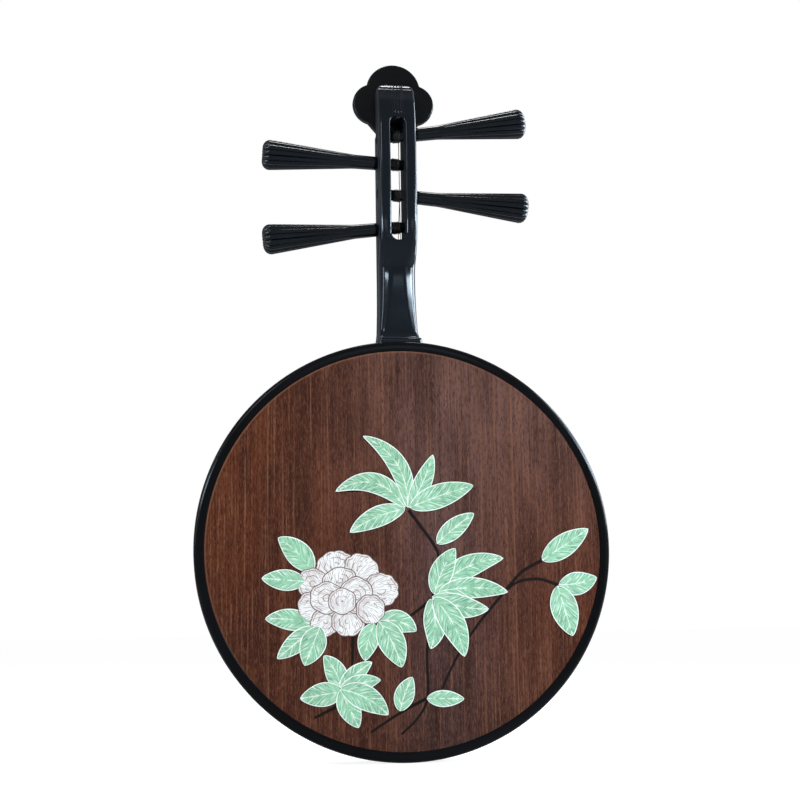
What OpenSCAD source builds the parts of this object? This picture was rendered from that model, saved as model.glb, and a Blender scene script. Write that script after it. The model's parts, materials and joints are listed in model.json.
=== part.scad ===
// Yueqin, a moon lute: a round shallow body, a short neck with an open pegbox, four fluted friction pegs
// and two double courses of strings over bamboo frets.
// +Z runs up the neck, -Y faces out of the back panel, and the origin is the lowest point of the rim,
// half way through the body.

/* [Body] */
// Diameter of the round body
body_d = 360; // [340:1:380]
// Depth of the body from back to soundboard
body_depth = 44; // [40:0.5:50]
// Width of the lacquered rim that shows round each panel
rim_w = 9; // [7:0.5:11]
// Width of the rebate ledge that each panel is glued on
ledge_w = 4; // [3:0.5:6]
// Rounding of the rim's outer edges
rim_edge_r = 4; // [2:0.5:5]
// Number of bent pieces that the rim is glued up from
rim_pieces = 6; // [4:2:6]
// Thickness of the back panel
back_t = 4; // [3:0.25:5]
// Depth of the back panel below the rim's face, which the inlay fills
inlay_t = 0.8; // [0.5:0.1:1.2]
// Thickness of the soundboard
board_t = 4.5; // [3.5:0.25:5.5]
// Gap between a panel's edge and its rebate
panel_gap = 0.1; // [0.05:0.05:0.3]

/* [Inlay] */
// Step from each leaf or petal to the one in front of it
inlay_step = 0.05; // [0.03:0.01:0.06]
// Gap left where a leaf goes under the flower and a stem under a leaf
inlay_gap = 0.3; // [0.2:0.1:0.6]
// Width of the stems
stem_w = 2.6; // [2:0.2:3.4]

/* [Neck] */
// Length of the neck from the rim to the nut
neck_len = 86; // [80:1:95]
// Width of the neck
neck_w = 34; // [32:0.5:37]
// Thickness of the neck behind its front face
neck_t = 22; // [19:0.5:24]
// Width of the heel where it meets the rim
heel_w = 39; // [37:0.5:42]
// Depth of the heel where it meets the rim
heel_t = 34; // [30:0.5:38]
// Height of the heel's foot above the rim
heel_h = 5; // [4:0.5:7]
// Width of the tenon that enters the body
tenon_w = 20; // [16:1:24]
// Depth of the tenon, front to back
tenon_t = 20; // [14:1:22]
// Length of the tenon inside the rim's inner wall
tenon_len = 18; // [12:1:22]
// Gap round a glued joint
glue_gap = 0.1; // [0.05:0.05:0.2]

/* [Pegbox] */
// Length of the pegbox from the nut to its top
pegbox_len = 158; // [150:1:170]
// Depth of the pegbox where its back is fullest
pegbox_t = 35; // [32:0.5:38]
// Width of the string slot
slot_w = 13.5; // [12:0.5:15]
// Distance from the nut's foot to the slot
slot_start = 9; // [8:0.5:11]
// Length of the string slot
slot_len = 115; // [112:1:118]

/* [Head plate] */
// Thickness of the cloud shaped head plate
plate_t = 8; // [6:0.5:10]
// Rounding of the plate's edges
plate_edge = 1.8; // [1:0.2:2.4]
// Radius of the plate's upper dome
dome_r = 25; // [22:0.5:27]
// Radius of each side lobe
lobe_r = 19; // [17:0.5:21]
// Distance of each side lobe's centre from the middle
lobe_x = 18.5; // [17:0.5:21]
// Height of the plate's top above the pegbox
plate_rise = 24; // [18:1:28]

/* [Pegs] */
// Radius of a peg's shaft where it enters the pegbox
shaft_r = 5.5; // [5:0.1:6]
// Radius of a peg's shaft at its far end
shaft_tip_r = 4.5; // [4.2:0.1:4.9]
// Radial clearance of a shaft in its tapered holes
peg_gap = 0.05; // [0.02:0.01:0.08]
// Distance from the middle of the pegbox to the end of a peg's handle
peg_reach = 121.5; // [112:0.5:128]
// Radius of the handle at its end
handle_r = 13.6; // [12:0.2:15]
// Radius of the handle at its shoulder
handle_root_r = 6.1; // [6.05:0.05:6.6]
// Length of the straight collar next to a handle's shoulder
collar_len = 3; // [2:0.5:5]
// Number of rounded ribs round a handle
rib_count = 15; // [12:1:16]
// Least gap between a handle's shoulder and the pegbox wall
shoulder_gap = 0.3; // [0.2:0.1:0.5]
// Depth of the peg axes behind the front face
peg_depth = 17; // [15:0.5:19]

/* [Strings] */
// Radius of a string
string_r = 0.35; // [0.3:0.05:0.4]
// Turns of each string round its peg
wind_turns = 5; // [3:1:5]
// Distance from one turn to the next
wind_pitch = 1.3; // [1.25:0.05:1.4]
// Half the distance between the two courses at the nut
course_nut = 6; // [5.5:0.1:6.2]
// Half the distance between the two strings of a course at the nut
pair_nut = 1.4; // [1.2:0.1:1.5]
// Half the distance between the two courses at the bridge
course_bridge = 11; // [10:0.5:12]
// Half the distance between the two strings of a course at the bridge
pair_bridge = 1.8; // [1.5:0.1:2.2]

/* [Nut, frets and bridge] */
// Height of the nut above the front face
nut_h = 11; // [10:0.5:12]
// Thickness of the nut along the strings
nut_t = 6; // [5:0.5:7]
// Width of the nut
nut_w = 30; // [28:0.5:32]
// Number of frets
fret_count = 24; // [24]
// Length of a fret across the strings
fret_w = 32; // [28:0.5:36]
// Thickness of a fret at its foot
fret_foot = 3.6; // [3:0.1:4]
// Thickness of a fret at its crown
fret_crown = 1.8; // [1.4:0.1:2.4]
// Space between a fret's crown and the strings
fret_gap = 1.4; // [1:0.1:2]
// Sounding length from the nut to the bridge
scale_len = 364; // [355:1:370]
// Height of the bridge above the soundboard
bridge_h = 14; // [13:0.5:16]
// Height of the string holes above the soundboard
hole_h = 9.5; // [9:0.25:10.5]
// Radius of the string holes in the bridge
hole_r = 1; // [0.8:0.1:1.3]
// Width of the bridge
bridge_w = 62; // [56:1:70]
// Thickness of the bridge along the strings
bridge_t = 11; // [10:0.5:13]

/* [Inside] */
// Thickness of a brace, front to back
brace_t = 9; // [7:0.5:10]
// Width of a brace
brace_w = 8; // [6:0.5:10]
// Distance of each brace from the body's middle
brace_z = 62; // [50:1:75]
// Radius of a sound post
post_r = 4; // [3:0.5:5]
// Distance of each sound post from the middle
post_x = 55; // [40:1:70]
// Width of the block under the neck
neck_block_w = 60; // [50:1:70]
// Height of the block under the neck
neck_block_h = 28; // [24:1:32]
// Width of the block at the tail
end_block_w = 50; // [40:1:60]
// Height of the block at the tail
end_block_h = 14; // [12:1:18]
// Gap at the ends of a post or brace
seat_gap = 0.1; // [0.05:0.05:0.2]
// Radius of the ringing wire inside the body
wire_r = 0.6; // [0.5:0.1:0.8]
// Length of the wire's straight foot
wire_foot = 30; // [20:1:40]
// Radius of the wire's bend
wire_bend = 45; // [30:1:55]

/* [Hidden] */
$fn = 96;
body_r = body_d / 2;
front_y = body_depth / 2;
rim_top = body_d;
nut_z = rim_top + neck_len;
head_z = nut_z + pegbox_len;
slot_z0 = nut_z + slot_start;
slot_z1 = slot_z0 + slot_len;
half_neck = neck_w / 2;
peg_y = front_y - peg_depth;
ledge_back = front_y - inlay_t - back_t;
ledge_front = front_y - board_t;
inner_r = body_r - rim_w - ledge_w;
// How far a cut runs past the solid that it goes through
through = 5;
// Height of each peg's axis above the nut where it crosses the slot, as a share of the pegbox
peg_share = [0.69, 0.522, 0.339, 0.147];
peg_rise = [for (share = peg_share) pegbox_len * share];
// Side and fan angle of each peg
peg_side = [1, -1, 1, -1];
peg_tilt = [8, 3, -4.5, -6.5];
fret_names = [for (i = [1:fret_count]) str("fret_", i < 10 ? "0" : "", i)];
rim_names = [for (i = [1:rim_pieces]) str("rim_", i)];
peg_names = [for (i = [1:4]) str("peg_", i)];
winding_names = [for (i = [1:4]) str("winding_", i)];
string_names = [for (i = [1:4]) str("string_", i)];
black = "#15151a";
board_wood = "#c9a878";

// A flat outline drawn as x and height, made into a slab that ends at y and is t deep behind it
module slab(y, t) {
  translate([0, y, 0])
    rotate([90, 0, 0])
      linear_extrude(t)
        children();
}

// Something drawn round the vertical axis, turned so that the axis points out of the back
module round_body() {
  translate([0, 0, body_r])
    rotate([90, 0, 0])
      children();
}

// Rim

// Width of the bevel on the rim's inner edges
rim_lip = 1;
// Half section of the rim: x is the radius and y runs from the soundboard side to the back
module rim_section() {
  e = rim_edge_r;
  arc_back = [for (a = [0:15:90]) [body_r - e + e * cos(a), front_y - e + e * sin(a)]];
  arc_front = [for (a = [-90:15:0]) [body_r - e + e * cos(a), -front_y + e + e * sin(a)]];
  polygon(concat(
    arc_front,
    arc_back,
    [[body_r - rim_w + rim_lip, front_y],
     [body_r - rim_w, front_y - rim_lip / 2],
     [body_r - rim_w, ledge_back],
     [inner_r, ledge_back],
     [inner_r, -ledge_front],
     [body_r - rim_w, -ledge_front],
     [body_r - rim_w, -front_y + rim_lip / 2],
     [body_r - rim_w + rim_lip, -front_y]]
  ));
}

module rim(i) {
  span = 360 / rim_pieces;
  mortise_w = tenon_w + 2 * glue_gap;
  mortise_t = tenon_t + 2 * glue_gap;
  color(black)
    difference() {
      round_body()
        rotate([0, 0, 90 - span / 2 + i * span])
          rotate_extrude(angle = span, $fn = 180)
            rim_section();
      if (i == 0)
        translate([-mortise_w / 2, tenon_y - glue_gap, body_r + inner_r - through])
          cube([mortise_w, mortise_t, rim_w + ledge_w + 2 * through]);
    }
}

// Panels

module back_panel() {
  color("#4b281e")
    translate([0, -front_y + inlay_t, body_r])
      rotate([-90, 0, 0])
        cylinder(r = body_r - rim_w - panel_gap, h = back_t, $fn = 180);
}

// Inlay

// One leaf a row: foot and tip as x and height from the body's middle, width, and bend to the left
top_leaves = [
  [0, 33, -48, 13, 18, -0.06],
  [0, 34, -60, 48, 18, -0.24],
  [2, 34, -36, 96, 17, -0.17],
  [3, 34, 25, 80, 16, -0.04],
  [4, 34, 60, 53, 21, 0.02]
];
right_leaves = [
  [26, -36, 85, -10, 20, 0.1],
  [24, -40, 43, -1, 20, 0.05],
  [28, -38, 88, -39, 18, 0.06],
  [22, -42, 71, -53, 20, -0.06],
  [20, -44, 20, -86, 20, 0.1],
  [23, -43, 49, -93, 22, 0.08]
];
flower_leaves = [
  [-80, -20, -109, 9, 21, -0.06],
  [-86, -28, -123, -25, 18, 0],
  [-80, -64, -120, -59, 18, -0.05],
  [-78, -66, -110, -92, 17, 0],
  [-74, -66, -87, -98, 22, 0],
  [-24, -62, 8, -71, 19, 0.12],
  [-28, -64, -36, -95, 18, -0.05],
  [-24, -62, -5, -101, 23, 0.05]
];
low_leaves = [
  [-57, -118, -71, -90, 18, -0.08],
  [-55, -118, -30, -96, 15, 0.06],
  [-55, -119, -23, -111, 15, 0.05],
  [-57, -120, -91, -125, 20, 0],
  [-56, -121, -42, -150, 19, 0],
  [-55, -119, -17, -140, 21, 0.08]
];
far_leaves = [
  [119, -12, 161, 15, 20, 0],
  [133, -33, 167, -27, 20, -0.06],
  [132, -34, 144, -77, 24, 0]
];
small_leaves = [
  [27, 3, 60, 29, 17, 0.02],
  [-7, -137, 4, -109, 17, 0.04],
  [16, -127, 48, -128, 14, 0]
];
leaf_groups = [top_leaves, right_leaves, flower_leaves, low_leaves, far_leaves, small_leaves];
// Points on each side of a leaf
leaf_steps = 9;
// A point of the midrib, at t from the foot to the tip
function midrib(l, t) =
  let (d = [l[2] - l[0], l[3] - l[1]], sag = 4 * t * (1 - t) * l[5])
  [l[0] + d[0] * t - d[1] * sag, l[1] + d[1] * t + d[0] * sag];
// How far a leaf's widest place lies towards its foot, and how full its ends are; less is more
leaf_skew = 0.85;
leaf_fullness = 0.7;
// Half a leaf's width at t, with a pointed foot and tip
function leaf_half(l, t, grow) = grow + l[4] / 2 * pow(sin(180 * pow(t, leaf_skew)), leaf_fullness);
function leaf_edge(l, t, side, grow) =
  let (d = unit(midrib(l, t + 0.01) - midrib(l, t - 0.01)))
  midrib(l, t) + side * leaf_half(l, t, grow) * [-d[1], d[0]];
// The outline of a leaf, grown by a gap all round
function leaf_outline(l, grow) =
  let (d = unit([l[2] - l[0], l[3] - l[1]]))
  concat(
    [[l[0], l[1]] - 2 * grow * d],
    [for (k = [1:leaf_steps - 1]) leaf_edge(l, k / leaf_steps, 1, grow)],
    [[l[2], l[3]] + 2 * grow * d],
    [for (k = [leaf_steps - 1:-1:1]) leaf_edge(l, k / leaf_steps, -1, grow)]
  );

// One petal a row, from the back to the front: centre, half length, half width, turn and number of waves
petals = [
  [-53, -41, 26, 22, 0, 12],
  [-61, -15, 17, 13, 15, 9],
  [-38, -19, 16.5, 14, -35, 9],
  [-80, -30, 13.5, 14, 60, 8],
  [-22, -36, 16, 15, 0, 10],
  [-82, -49, 11, 13, 10, 8],
  [-69, -62, 14, 12.5, 30, 8],
  [-50, -62, 15, 13, 0, 8],
  [-57, -28, 15.5, 12, 10, 6],
  [-43, -40, 15, 16, 0, 6],
  [-31, -52, 13, 13, 0, 8],
  [-68, -42, 15, 14, 0, 6],
  [-55, -45, 12.5, 11.5, 0, 6]
];
petal_points = 48;
// How far a petal's waves stand out, as a share of its size
petal_wave = 0.07;
function petal_outline(p, grow) =
  [for (k = [0:petal_points - 1])
    let (a = k * 360 / petal_points,
         w = 1 + petal_wave * (abs(sin(p[5] * a / 2)) - 1),
         u = [(p[2] + grow) * w * cos(a), (p[3] + grow) * w * sin(a)])
    [p[0] + u[0] * cos(p[4]) - u[1] * sin(p[4]), p[1] + u[0] * sin(p[4]) + u[1] * cos(p[4])]];

// Stems as points from end to end, with the thickness at both ends as a share of stem_w
stems = [
  [[3, 32], [24, 3], [28, -11], [23, -41], [17, -87], [17, -125], [8, -143], [-6, -156]],
  [[119, -12], [102, -21], [90, -33], [76, -49], [59, -69], [42, -94], [29, -120]],
  [[132, -33], [116, -28], [98, -30], [88, -37]],
  [[17, -48], [3, -58]],
  [[16, -127], [-6, -138], [-32, -154]],
  [[-46, -72], [-47, -102]],
  [[-60, -132], [-79, -141]]
];
stem_taper = 0.6;
// Halves of the strip along a stem, narrowing towards its last point
function stem_side(s, side) =
  [for (k = [0:len(s) - 1])
    let (d = tangent(s, k), h = stem_w / 2 * (1 - (1 - stem_taper) * k / (len(s) - 1)))
    s[k] + side * h * [-d[1], d[0]]];
module stem_shape(s) {
  right_side = stem_side(s, -1);
  polygon(concat(
    stem_side(s, 1),
    [for (k = [len(s) - 1:-1:0]) right_side[k]]
  ));
}

// A flat outline round the body's middle, set on the panel and h high
module on_panel(h) {
  translate([0, 0, body_r])
    slab(-front_y + inlay_t, h)
      children();
}
module flower_shape(grow) {
  for (p = petals)
    polygon(petal_outline(p, grow));
}
module leaf_inlay() {
  color("#97d0a8")
    difference() {
      for (g = leaf_groups, k = [0:len(g) - 1])
        on_panel(inlay_t - inlay_step * (len(g) - 1 - k))
          polygon(leaf_outline(g[k], 0));
      on_panel(inlay_t + 1)
        flower_shape(inlay_gap);
    }
}
module flower_inlay() {
  color("#e9e2e0")
    for (k = [0:len(petals) - 1])
      on_panel(inlay_t - inlay_step * (len(petals) - 1 - k))
        polygon(petal_outline(petals[k], 0));
}
module stem_inlay() {
  color("#1d1210")
    difference() {
      on_panel(inlay_t - 4 * inlay_step)
        for (s = stems)
          stem_shape(s);
      on_panel(inlay_t + 1) {
        flower_shape(inlay_gap);
        for (g = leaf_groups, l = g)
          polygon(leaf_outline(l, inlay_gap));
      }
    }
}

module soundboard() {
  color(board_wood)
    translate([0, front_y - board_t, body_r])
      rotate([-90, 0, 0])
        cylinder(r = body_r - rim_w - panel_gap, h = board_t, $fn = 180);
}

// Neck

tenon_y = front_y - board_t - 3 - tenon_t;
neck_back = front_y - neck_t;
pegbox_back = front_y - pegbox_t;
heel_back = front_y - heel_t;
half_heel = heel_w / 2;

// Height, half width, back face and back corner radius along the neck, from the heel to the head
neck_stations = [
  [rim_top - 9, half_heel, heel_back, 3],
  [rim_top + heel_h * 0.4, half_heel, heel_back, 3],
  [rim_top + heel_h, half_heel - 0.6, heel_back + 1, 3],
  [rim_top + heel_h + 2.5, (half_heel + half_neck) / 2 + 0.2, neck_back - 3, 4],
  [rim_top + heel_h + 8, half_neck + 0.8, neck_back - 0.5, 6],
  [rim_top + neck_len * 0.4, half_neck + 0.2, neck_back, 10],
  [rim_top + neck_len * 0.66, half_neck, neck_back, 12.5],
  [nut_z - 14, half_neck, neck_back - 1.5, 13],
  [nut_z - 2, half_neck, neck_back - 6, 8],
  [slot_z0 + 1, half_neck, pegbox_back + 3, 3.5],
  [slot_z0 + 18, half_neck, pegbox_back + 1, 2],
  [slot_z0 + slot_len * 0.56, half_neck, pegbox_back, 2],
  [slot_z1 - 8, half_neck, pegbox_back + 2, 2],
  [head_z - 17, half_neck, pegbox_back + 7, 2],
  [head_z - 6, half_neck, pegbox_back + 12, 2],
  [head_z - 1.2, half_neck - 0.3, pegbox_back + 15.5, 2],
  [head_z, half_neck - 1.5, pegbox_back + 17.5, 2]
];
// A curve through four values, at t between the middle two
function through(a, b, c, d, t) =
  0.5 * (2 * b + (c - a) * t + (2 * a - 5 * b + 4 * c - d) * t * t + (3 * b - a - 3 * c + d) * t * t * t);
last = len(neck_stations) - 1;
substeps = 2;
function station(k) = neck_stations[max(0, min(last, k))];
neck_rows = concat(
  [for (k = [0:last - 1], s = [0:substeps - 1])
    let (t = s / substeps)
    [for (j = [0:3]) j == 0
      ? station(k)[0] * (1 - t) + station(k + 1)[0] * t
      : through(station(k - 1)[j], station(k)[j], station(k + 1)[j], station(k + 2)[j], t)]],
  [station(last)]
);
front_edge_r = 1.5;
corner_steps = 5;
// Half of one ring of the neck, from the front face round to the back
function half_ring(row) = concat(
  [for (a = [0:45:90])
    [row[1] - front_edge_r + front_edge_r * sin(a), front_y - front_edge_r + front_edge_r * cos(a)]],
  [for (a = [0:90 / corner_steps:90])
    [row[1] - row[3] + row[3] * cos(a), row[2] + row[3] - row[3] * sin(a)]]
);
function full_ring(row) =
  let (h = half_ring(row), n = len(h))
  concat(
    [for (p = h) [-p[0], p[1], row[0]]],
    [for (i = [n - 1:-1:0]) [h[i][0], h[i][1], row[0]]]
  );
// Faces of a closed tube of rings with n points each
function ring_faces(rows, n) = concat(
  [[for (i = [0:n - 1]) i]],
  [for (r = [0:rows - 2], i = [0:n - 1])
    [r * n + i, (r + 1) * n + i, r * n + (i + 1) % n]],
  [for (r = [0:rows - 2], i = [0:n - 1])
    [r * n + (i + 1) % n, (r + 1) * n + i, (r + 1) * n + (i + 1) % n]],
  [[for (i = [n - 1:-1:0]) (rows - 1) * n + i]]
);
module neck_form() {
  rings = [for (row = neck_rows) full_ring(row)];
  points = [for (ring = rings, p = ring) p];
  polyhedron(points, ring_faces(len(rings), len(rings[0])), convexity = 6);
}

// Where a peg lies: its own x runs out along the handle
module at_peg(i) {
  translate([0, peg_y, nut_z + peg_rise[i]])
    rotate([0, 0, peg_side[i] > 0 ? 0 : 180])
      rotate([0, -peg_tilt[i], 0])
        children();
}

function shaft_radius(x) =
  shaft_tip_r + (shaft_r - shaft_tip_r) * (x + half_neck) / neck_w;

// A cone along the peg's own x axis from x0 to x1, on the shaft's taper
module taper(x0, x1, grow) {
  translate([x0, 0, 0])
    rotate([0, 90, 0])
      cylinder(r1 = shaft_radius(x0) + grow, r2 = shaft_radius(x1) + grow, h = x1 - x0);
}

module slot_outline() {
  r = slot_w / 2;
  translate([0, slot_z0 + r])
    circle(r);
  translate([0, slot_z1 - r])
    circle(r);
  translate([-r, slot_z0 + r])
    square([slot_w, slot_len - slot_w]);
}

module neck() {
  plate_back = front_y - plate_t;
  bore_reach = half_neck + 8;
  color(black)
    union() {
      difference() {
        neck_form();
        round_body()
          cylinder(r = body_r + glue_gap, h = 3 * body_depth, center = true, $fn = 180);
        slab(front_y + 5, body_depth + 20)
          slot_outline();
        translate([-neck_w, plate_back, plate_foot_z - glue_gap])
          cube([2 * neck_w, plate_t + 5, head_z]);
        for (i = [0:3])
          at_peg(i)
            taper(-bore_reach, bore_reach, peg_gap);
      }
      translate([-tenon_w / 2, tenon_y, inner_r + body_r - tenon_len])
        cube([tenon_w, tenon_t, rim_w + ledge_w + tenon_len + 2]);
    }
}

// Head plate

plate_top_z = head_z + plate_rise;
dome_z = plate_top_z - dome_r;
lobe_z = dome_z - 13;
plate_foot_z = lobe_z - 32;
module cloud(inset) {
  translate([0, dome_z])
    circle(dome_r - inset);
  for (s = [-1, 1])
    translate([s * lobe_x, lobe_z])
      circle(lobe_r - inset);
  tail_w = half_neck + 2 - inset;
  foot_w = half_neck - 5 - inset;
  shoulder_w = lobe_x + lobe_r * 0.5 - inset;
  polygon([
    [-foot_w, plate_foot_z + inset],
    [foot_w, plate_foot_z + inset],
    [tail_w, plate_foot_z + 8],
    [shoulder_w, lobe_z - lobe_r * 0.7],
    [shoulder_w, lobe_z],
    [-shoulder_w, lobe_z],
    [-shoulder_w, lobe_z - lobe_r * 0.7],
    [-tail_w, plate_foot_z + 8]
  ]);
}
module head_plate() {
  steps = 3;
  color(black)
    for (k = [0:steps]) {
      a = 90 * k / steps;
      edge = plate_edge * (1 - sin(a));
      slab(front_y - edge, plate_t - 2 * edge)
        cloud(plate_edge * (1 - cos(a)));
    }
}

// Pegs

// Where the ribs start to rise from the smooth neck of a handle
rib_start = 34;
// Length and corner radius of a handle's rounded end
end_len = 6.5;
end_round = 5.5;
// Radius of a rib where it starts, and the share of the handle's radius that it has at the end
rib_start_r = 1.1;
rib_share = 0.2;
handle_end = peg_reach - end_len;

// Where a handle's shoulder clears the upright wall, although the peg leans against it
function shoulder_x(i) =
  (half_neck + shoulder_gap + handle_root_r * sin(abs(peg_tilt[i]))) / cos(peg_tilt[i]);

// The handle's greatest outline, as distance out and radius; the ribs are trimmed to it
module handle_profile(x0) {
  dome = [for (a = [0:15:90])
    [handle_end + end_len * sin(a), handle_r - end_round + end_round * cos(a)]];
  polygon(concat(
    [[x0, 0], [x0, handle_root_r]],
    [[x0 + collar_len, handle_root_r], [rib_start + 2, handle_root_r + 0.5]],
    [[handle_end - 4, handle_r + 0.1]],
    dome,
    [[peg_reach, 0]]
  ));
}
module rib() {
  root_rc = handle_root_r - rib_start_r - 0.2;
  end_rc = handle_r * (1 - rib_share);
  run = peg_reach - rib_start;
  lean = atan((end_rc - root_rc) / run);
  translate([rib_start, 0, root_rc])
    rotate([0, 90 - lean, 0])
      cylinder(r1 = rib_start_r, r2 = handle_r * rib_share, h = run / cos(lean), $fn = 24);
}
// A straight sided round bar or cone along a peg's axis
module along_peg(x0, x1, r0, r1) {
  translate([x0, 0, 0])
    rotate([0, 90, 0])
      cylinder(r1 = r0, r2 = r1, h = x1 - x0, $fn = 60);
}
module peg(i) {
  x0 = shoulder_x(i);
  color(black)
    at_peg(i) {
      taper(-half_neck + 0.5, x0 + 1, 0);
      intersection() {
        rotate([90, 0, 90])
          rotate_extrude($fn = 60)
            rotate([0, 0, 90])
              mirror([0, 1])
                handle_profile(x0);
        union() {
          along_peg(x0, x0 + collar_len, handle_root_r, handle_root_r);
          along_peg(x0 + collar_len, rib_start + 4, handle_root_r, handle_root_r + 0.25);
          along_peg(rib_start, peg_reach, handle_root_r - 0.2, handle_r * (1 - 0.8 * rib_share));
          for (k = [0:rib_count - 1])
            rotate([k * 360 / rib_count, 0, 0])
              rib();
        }
      }
    }
}

// Strings

// A tube of straight pieces through the points, each ring square to the route
function unit(v) = v / norm(v);
function tangent(p, k) = unit(p[min(len(p) - 1, k + 1)] - p[max(0, k - 1)]);
function tube_ring(p, k, r, sides) =
  let (t = tangent(p, k), n = unit(cross(t, [1, 0, 0])), b = cross(t, n))
  [for (s = [0:sides - 1])
    let (a = s * 360 / sides)
    p[k] + r * (n * cos(a) + b * sin(a))];
module tube(p, r, sides) {
  points = [for (k = [0:len(p) - 1], q = tube_ring(p, k, r, sides)) q];
  polyhedron(points, ring_faces(len(p), sides), convexity = 8);
}

string_sides = 8;
function nut_x(i) = peg_side[i] * (course_nut + (i < 2 ? pair_nut : -pair_nut));
function bridge_x(i) = peg_side[i] * (course_bridge + (i < 2 ? pair_bridge : -pair_bridge));
bridge_z = nut_z - scale_len;
string_nut_y = front_y + nut_h;
string_bridge_y = front_y + hole_h;
function string_y(z) =
  string_bridge_y + (string_nut_y - string_bridge_y) * (z - bridge_z) / scale_len;

// From a peg's own frame to the part's frame and back
function to_part(i, p) =
  let (t = peg_tilt[i], s = peg_side[i],
       x = p[0] * cos(t) - p[2] * sin(t), z = p[0] * sin(t) + p[2] * cos(t))
  [s * x, peg_y + s * p[1], nut_z + peg_rise[i] + z];
function to_peg(i, q) =
  let (t = peg_tilt[i], s = peg_side[i],
       x = s * q[0], z = q[2] - nut_z - peg_rise[i])
  [x * cos(t) + z * sin(t), s * (q[1] - peg_y), -x * sin(t) + z * cos(t)];

// Each winding starts where the string from the nut first touches it
wind_gap = 0.12;
wind_x = 3.8;
free_len = 3.6;
join_gap = 0.1;
nut_leave = [0, string_nut_y + string_r, nut_z + nut_t];
function wind_r(x) = shaft_radius(x) + string_r + wind_gap;
function leave_point(i) = to_peg(i, [nut_x(i), nut_leave[1], nut_leave[2]]);
function touch_angle(i) =
  let (n = leave_point(i), s = peg_side[i])
  atan2(n[2], n[1]) + s * acos(wind_r(wind_x) / norm([n[1], n[2]]));
function coil_point(i, a) =
  let (x = wind_x - wind_pitch * a / 360, r = wind_r(x), b = touch_angle(i) + peg_side[i] * a)
  [x, r * cos(b), r * sin(b)];
function free_point(i, d) =
  let (c = coil_point(i, 0), n = leave_point(i))
  c + d * unit(n - c);
ring_step = 15;
function winding_points(i) = concat(
  [free_point(i, free_len), free_point(i, free_len / 2)],
  [for (a = [0:ring_step:360 * wind_turns]) coil_point(i, a)]
);
wind_sides = 6;
function winding_ring(i, p, k) =
  let (t = tangent(p, k), c = p[max(2, k)], n0 = unit([0, c[1], c[2]]), b = unit(cross(t, n0)), n = cross(b, t))
  [for (s = [0:wind_sides - 1])
    let (a = s * 360 / wind_sides)
    p[k] + string_r * (n * cos(a) + b * sin(a))];
module winding(i) {
  p = winding_points(i);
  points = [for (k = [0:len(p) - 1], q = winding_ring(i, p, k)) q];
  color("#b9b4a8")
    at_peg(i)
      polyhedron(points, ring_faces(len(p), wind_sides), convexity = 10);
}

// Least distance between the surfaces of two turns, measured on the points of the coil
function least(v, k = 0, m = 1e9) = k == len(v) ? m : least(v, k + 1, min(m, v[k]));
function coil_gap(i) =
  let (p = winding_points(i), apart = 180 / ring_step)
  least([for (j = [0:len(p) - 1], k = [j + apart:1:len(p) - 1]) norm(p[j] - p[k])]) - 2 * string_r;
echo(least_gap_between_turns = [for (i = [0:3]) coil_gap(i)]);

// Gap from a tie's centre line to the bridge, the size of its bends, its offset and its free end
tie_gap = string_r + 0.15;
tie_bend = 0.4;
tie_x = 1.3;
tie_end = 2.2;
// The tie round the bridge, then the run over the frets to the nut and down to the peg
function string_route(i) =
  let (x = bridge_x(i),
       top = front_y + bridge_h + tie_gap,
       z_front = bridge_z + tie_gap,
       z_rear = bridge_z - bridge_t - tie_gap,
       end = to_part(i, free_point(i, free_len + join_gap)))
  [
    [x + tie_x, string_bridge_y + tie_end, z_front],
    [x + tie_x, top - tie_bend, z_front],
    [x + tie_x, top, z_front - tie_bend],
    [x + tie_x / 3, top, z_rear + tie_bend],
    [x + tie_x / 4, top - tie_bend, z_rear],
    [x, string_bridge_y + tie_bend, z_rear],
    [x, string_bridge_y, z_rear + 2 * tie_bend],
    [x, string_bridge_y, bridge_z],
    [nut_x(i), string_nut_y + string_r, nut_z + nut_t / 2],
    [nut_x(i), string_nut_y + string_r, nut_z + nut_t],
    end
  ];
module lute_string(i) {
  color("#d8d4c8")
    tube(string_route(i), string_r, string_sides);
}

// Nut, frets and bridge

module nut() {
  crown = nut_t * 0.5;
  color("#efe8d6")
    difference() {
      translate([-nut_w / 2, 0, nut_z])
        rotate([90, 0, 90])
          linear_extrude(nut_w)
            polygon([
              [front_y, 0],
              [front_y + nut_h - crown * 0.6, 0],
              [front_y + nut_h - 0.4, crown * 0.5],
              [front_y + nut_h, crown],
              [front_y + nut_h, nut_t - 0.8],
              [front_y + nut_h - 1.6, nut_t],
              [front_y, nut_t]
            ]);
      for (i = [0:3])
        translate([nut_x(i), string_nut_y + string_r, nut_z - 1])
          cylinder(r = string_r + 0.15, h = nut_t + 2, $fn = 16);
    }
}

function fret_z(n) = nut_z - scale_len * (1 - pow(2, -n / 12));
module fret(n) {
  z = fret_z(n);
  h = string_y(z) - string_r - fret_gap - front_y;
  f = fret_foot / 2;
  c = fret_crown / 2;
  color("#cfae6b")
    intersection() {
      translate([-fret_w / 2, 0, z])
        rotate([90, 0, 90])
          linear_extrude(fret_w)
            polygon([
              [front_y, -f],
              [front_y, f],
              [front_y + h - 0.5, c],
              [front_y + h, c * 0.4],
              [front_y + h, -c * 0.4],
              [front_y + h - 0.5, -c]
            ]);
      slab_up(z, f)
        polygon([
          [-fret_w / 2, front_y],
          [fret_w / 2, front_y],
          [fret_w / 2 - 0.5, front_y + h * 0.5],
          [fret_w / 2 - 2.5, front_y + h],
          [-fret_w / 2 + 2.5, front_y + h],
          [-fret_w / 2 + 0.5, front_y + h * 0.5]
        ]);
    }
}
// A flat outline drawn as x and y, made into a slab from z - half to z + half
module slab_up(z, half) {
  translate([0, 0, z - half])
    linear_extrude(2 * half)
      children();
}

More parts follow.
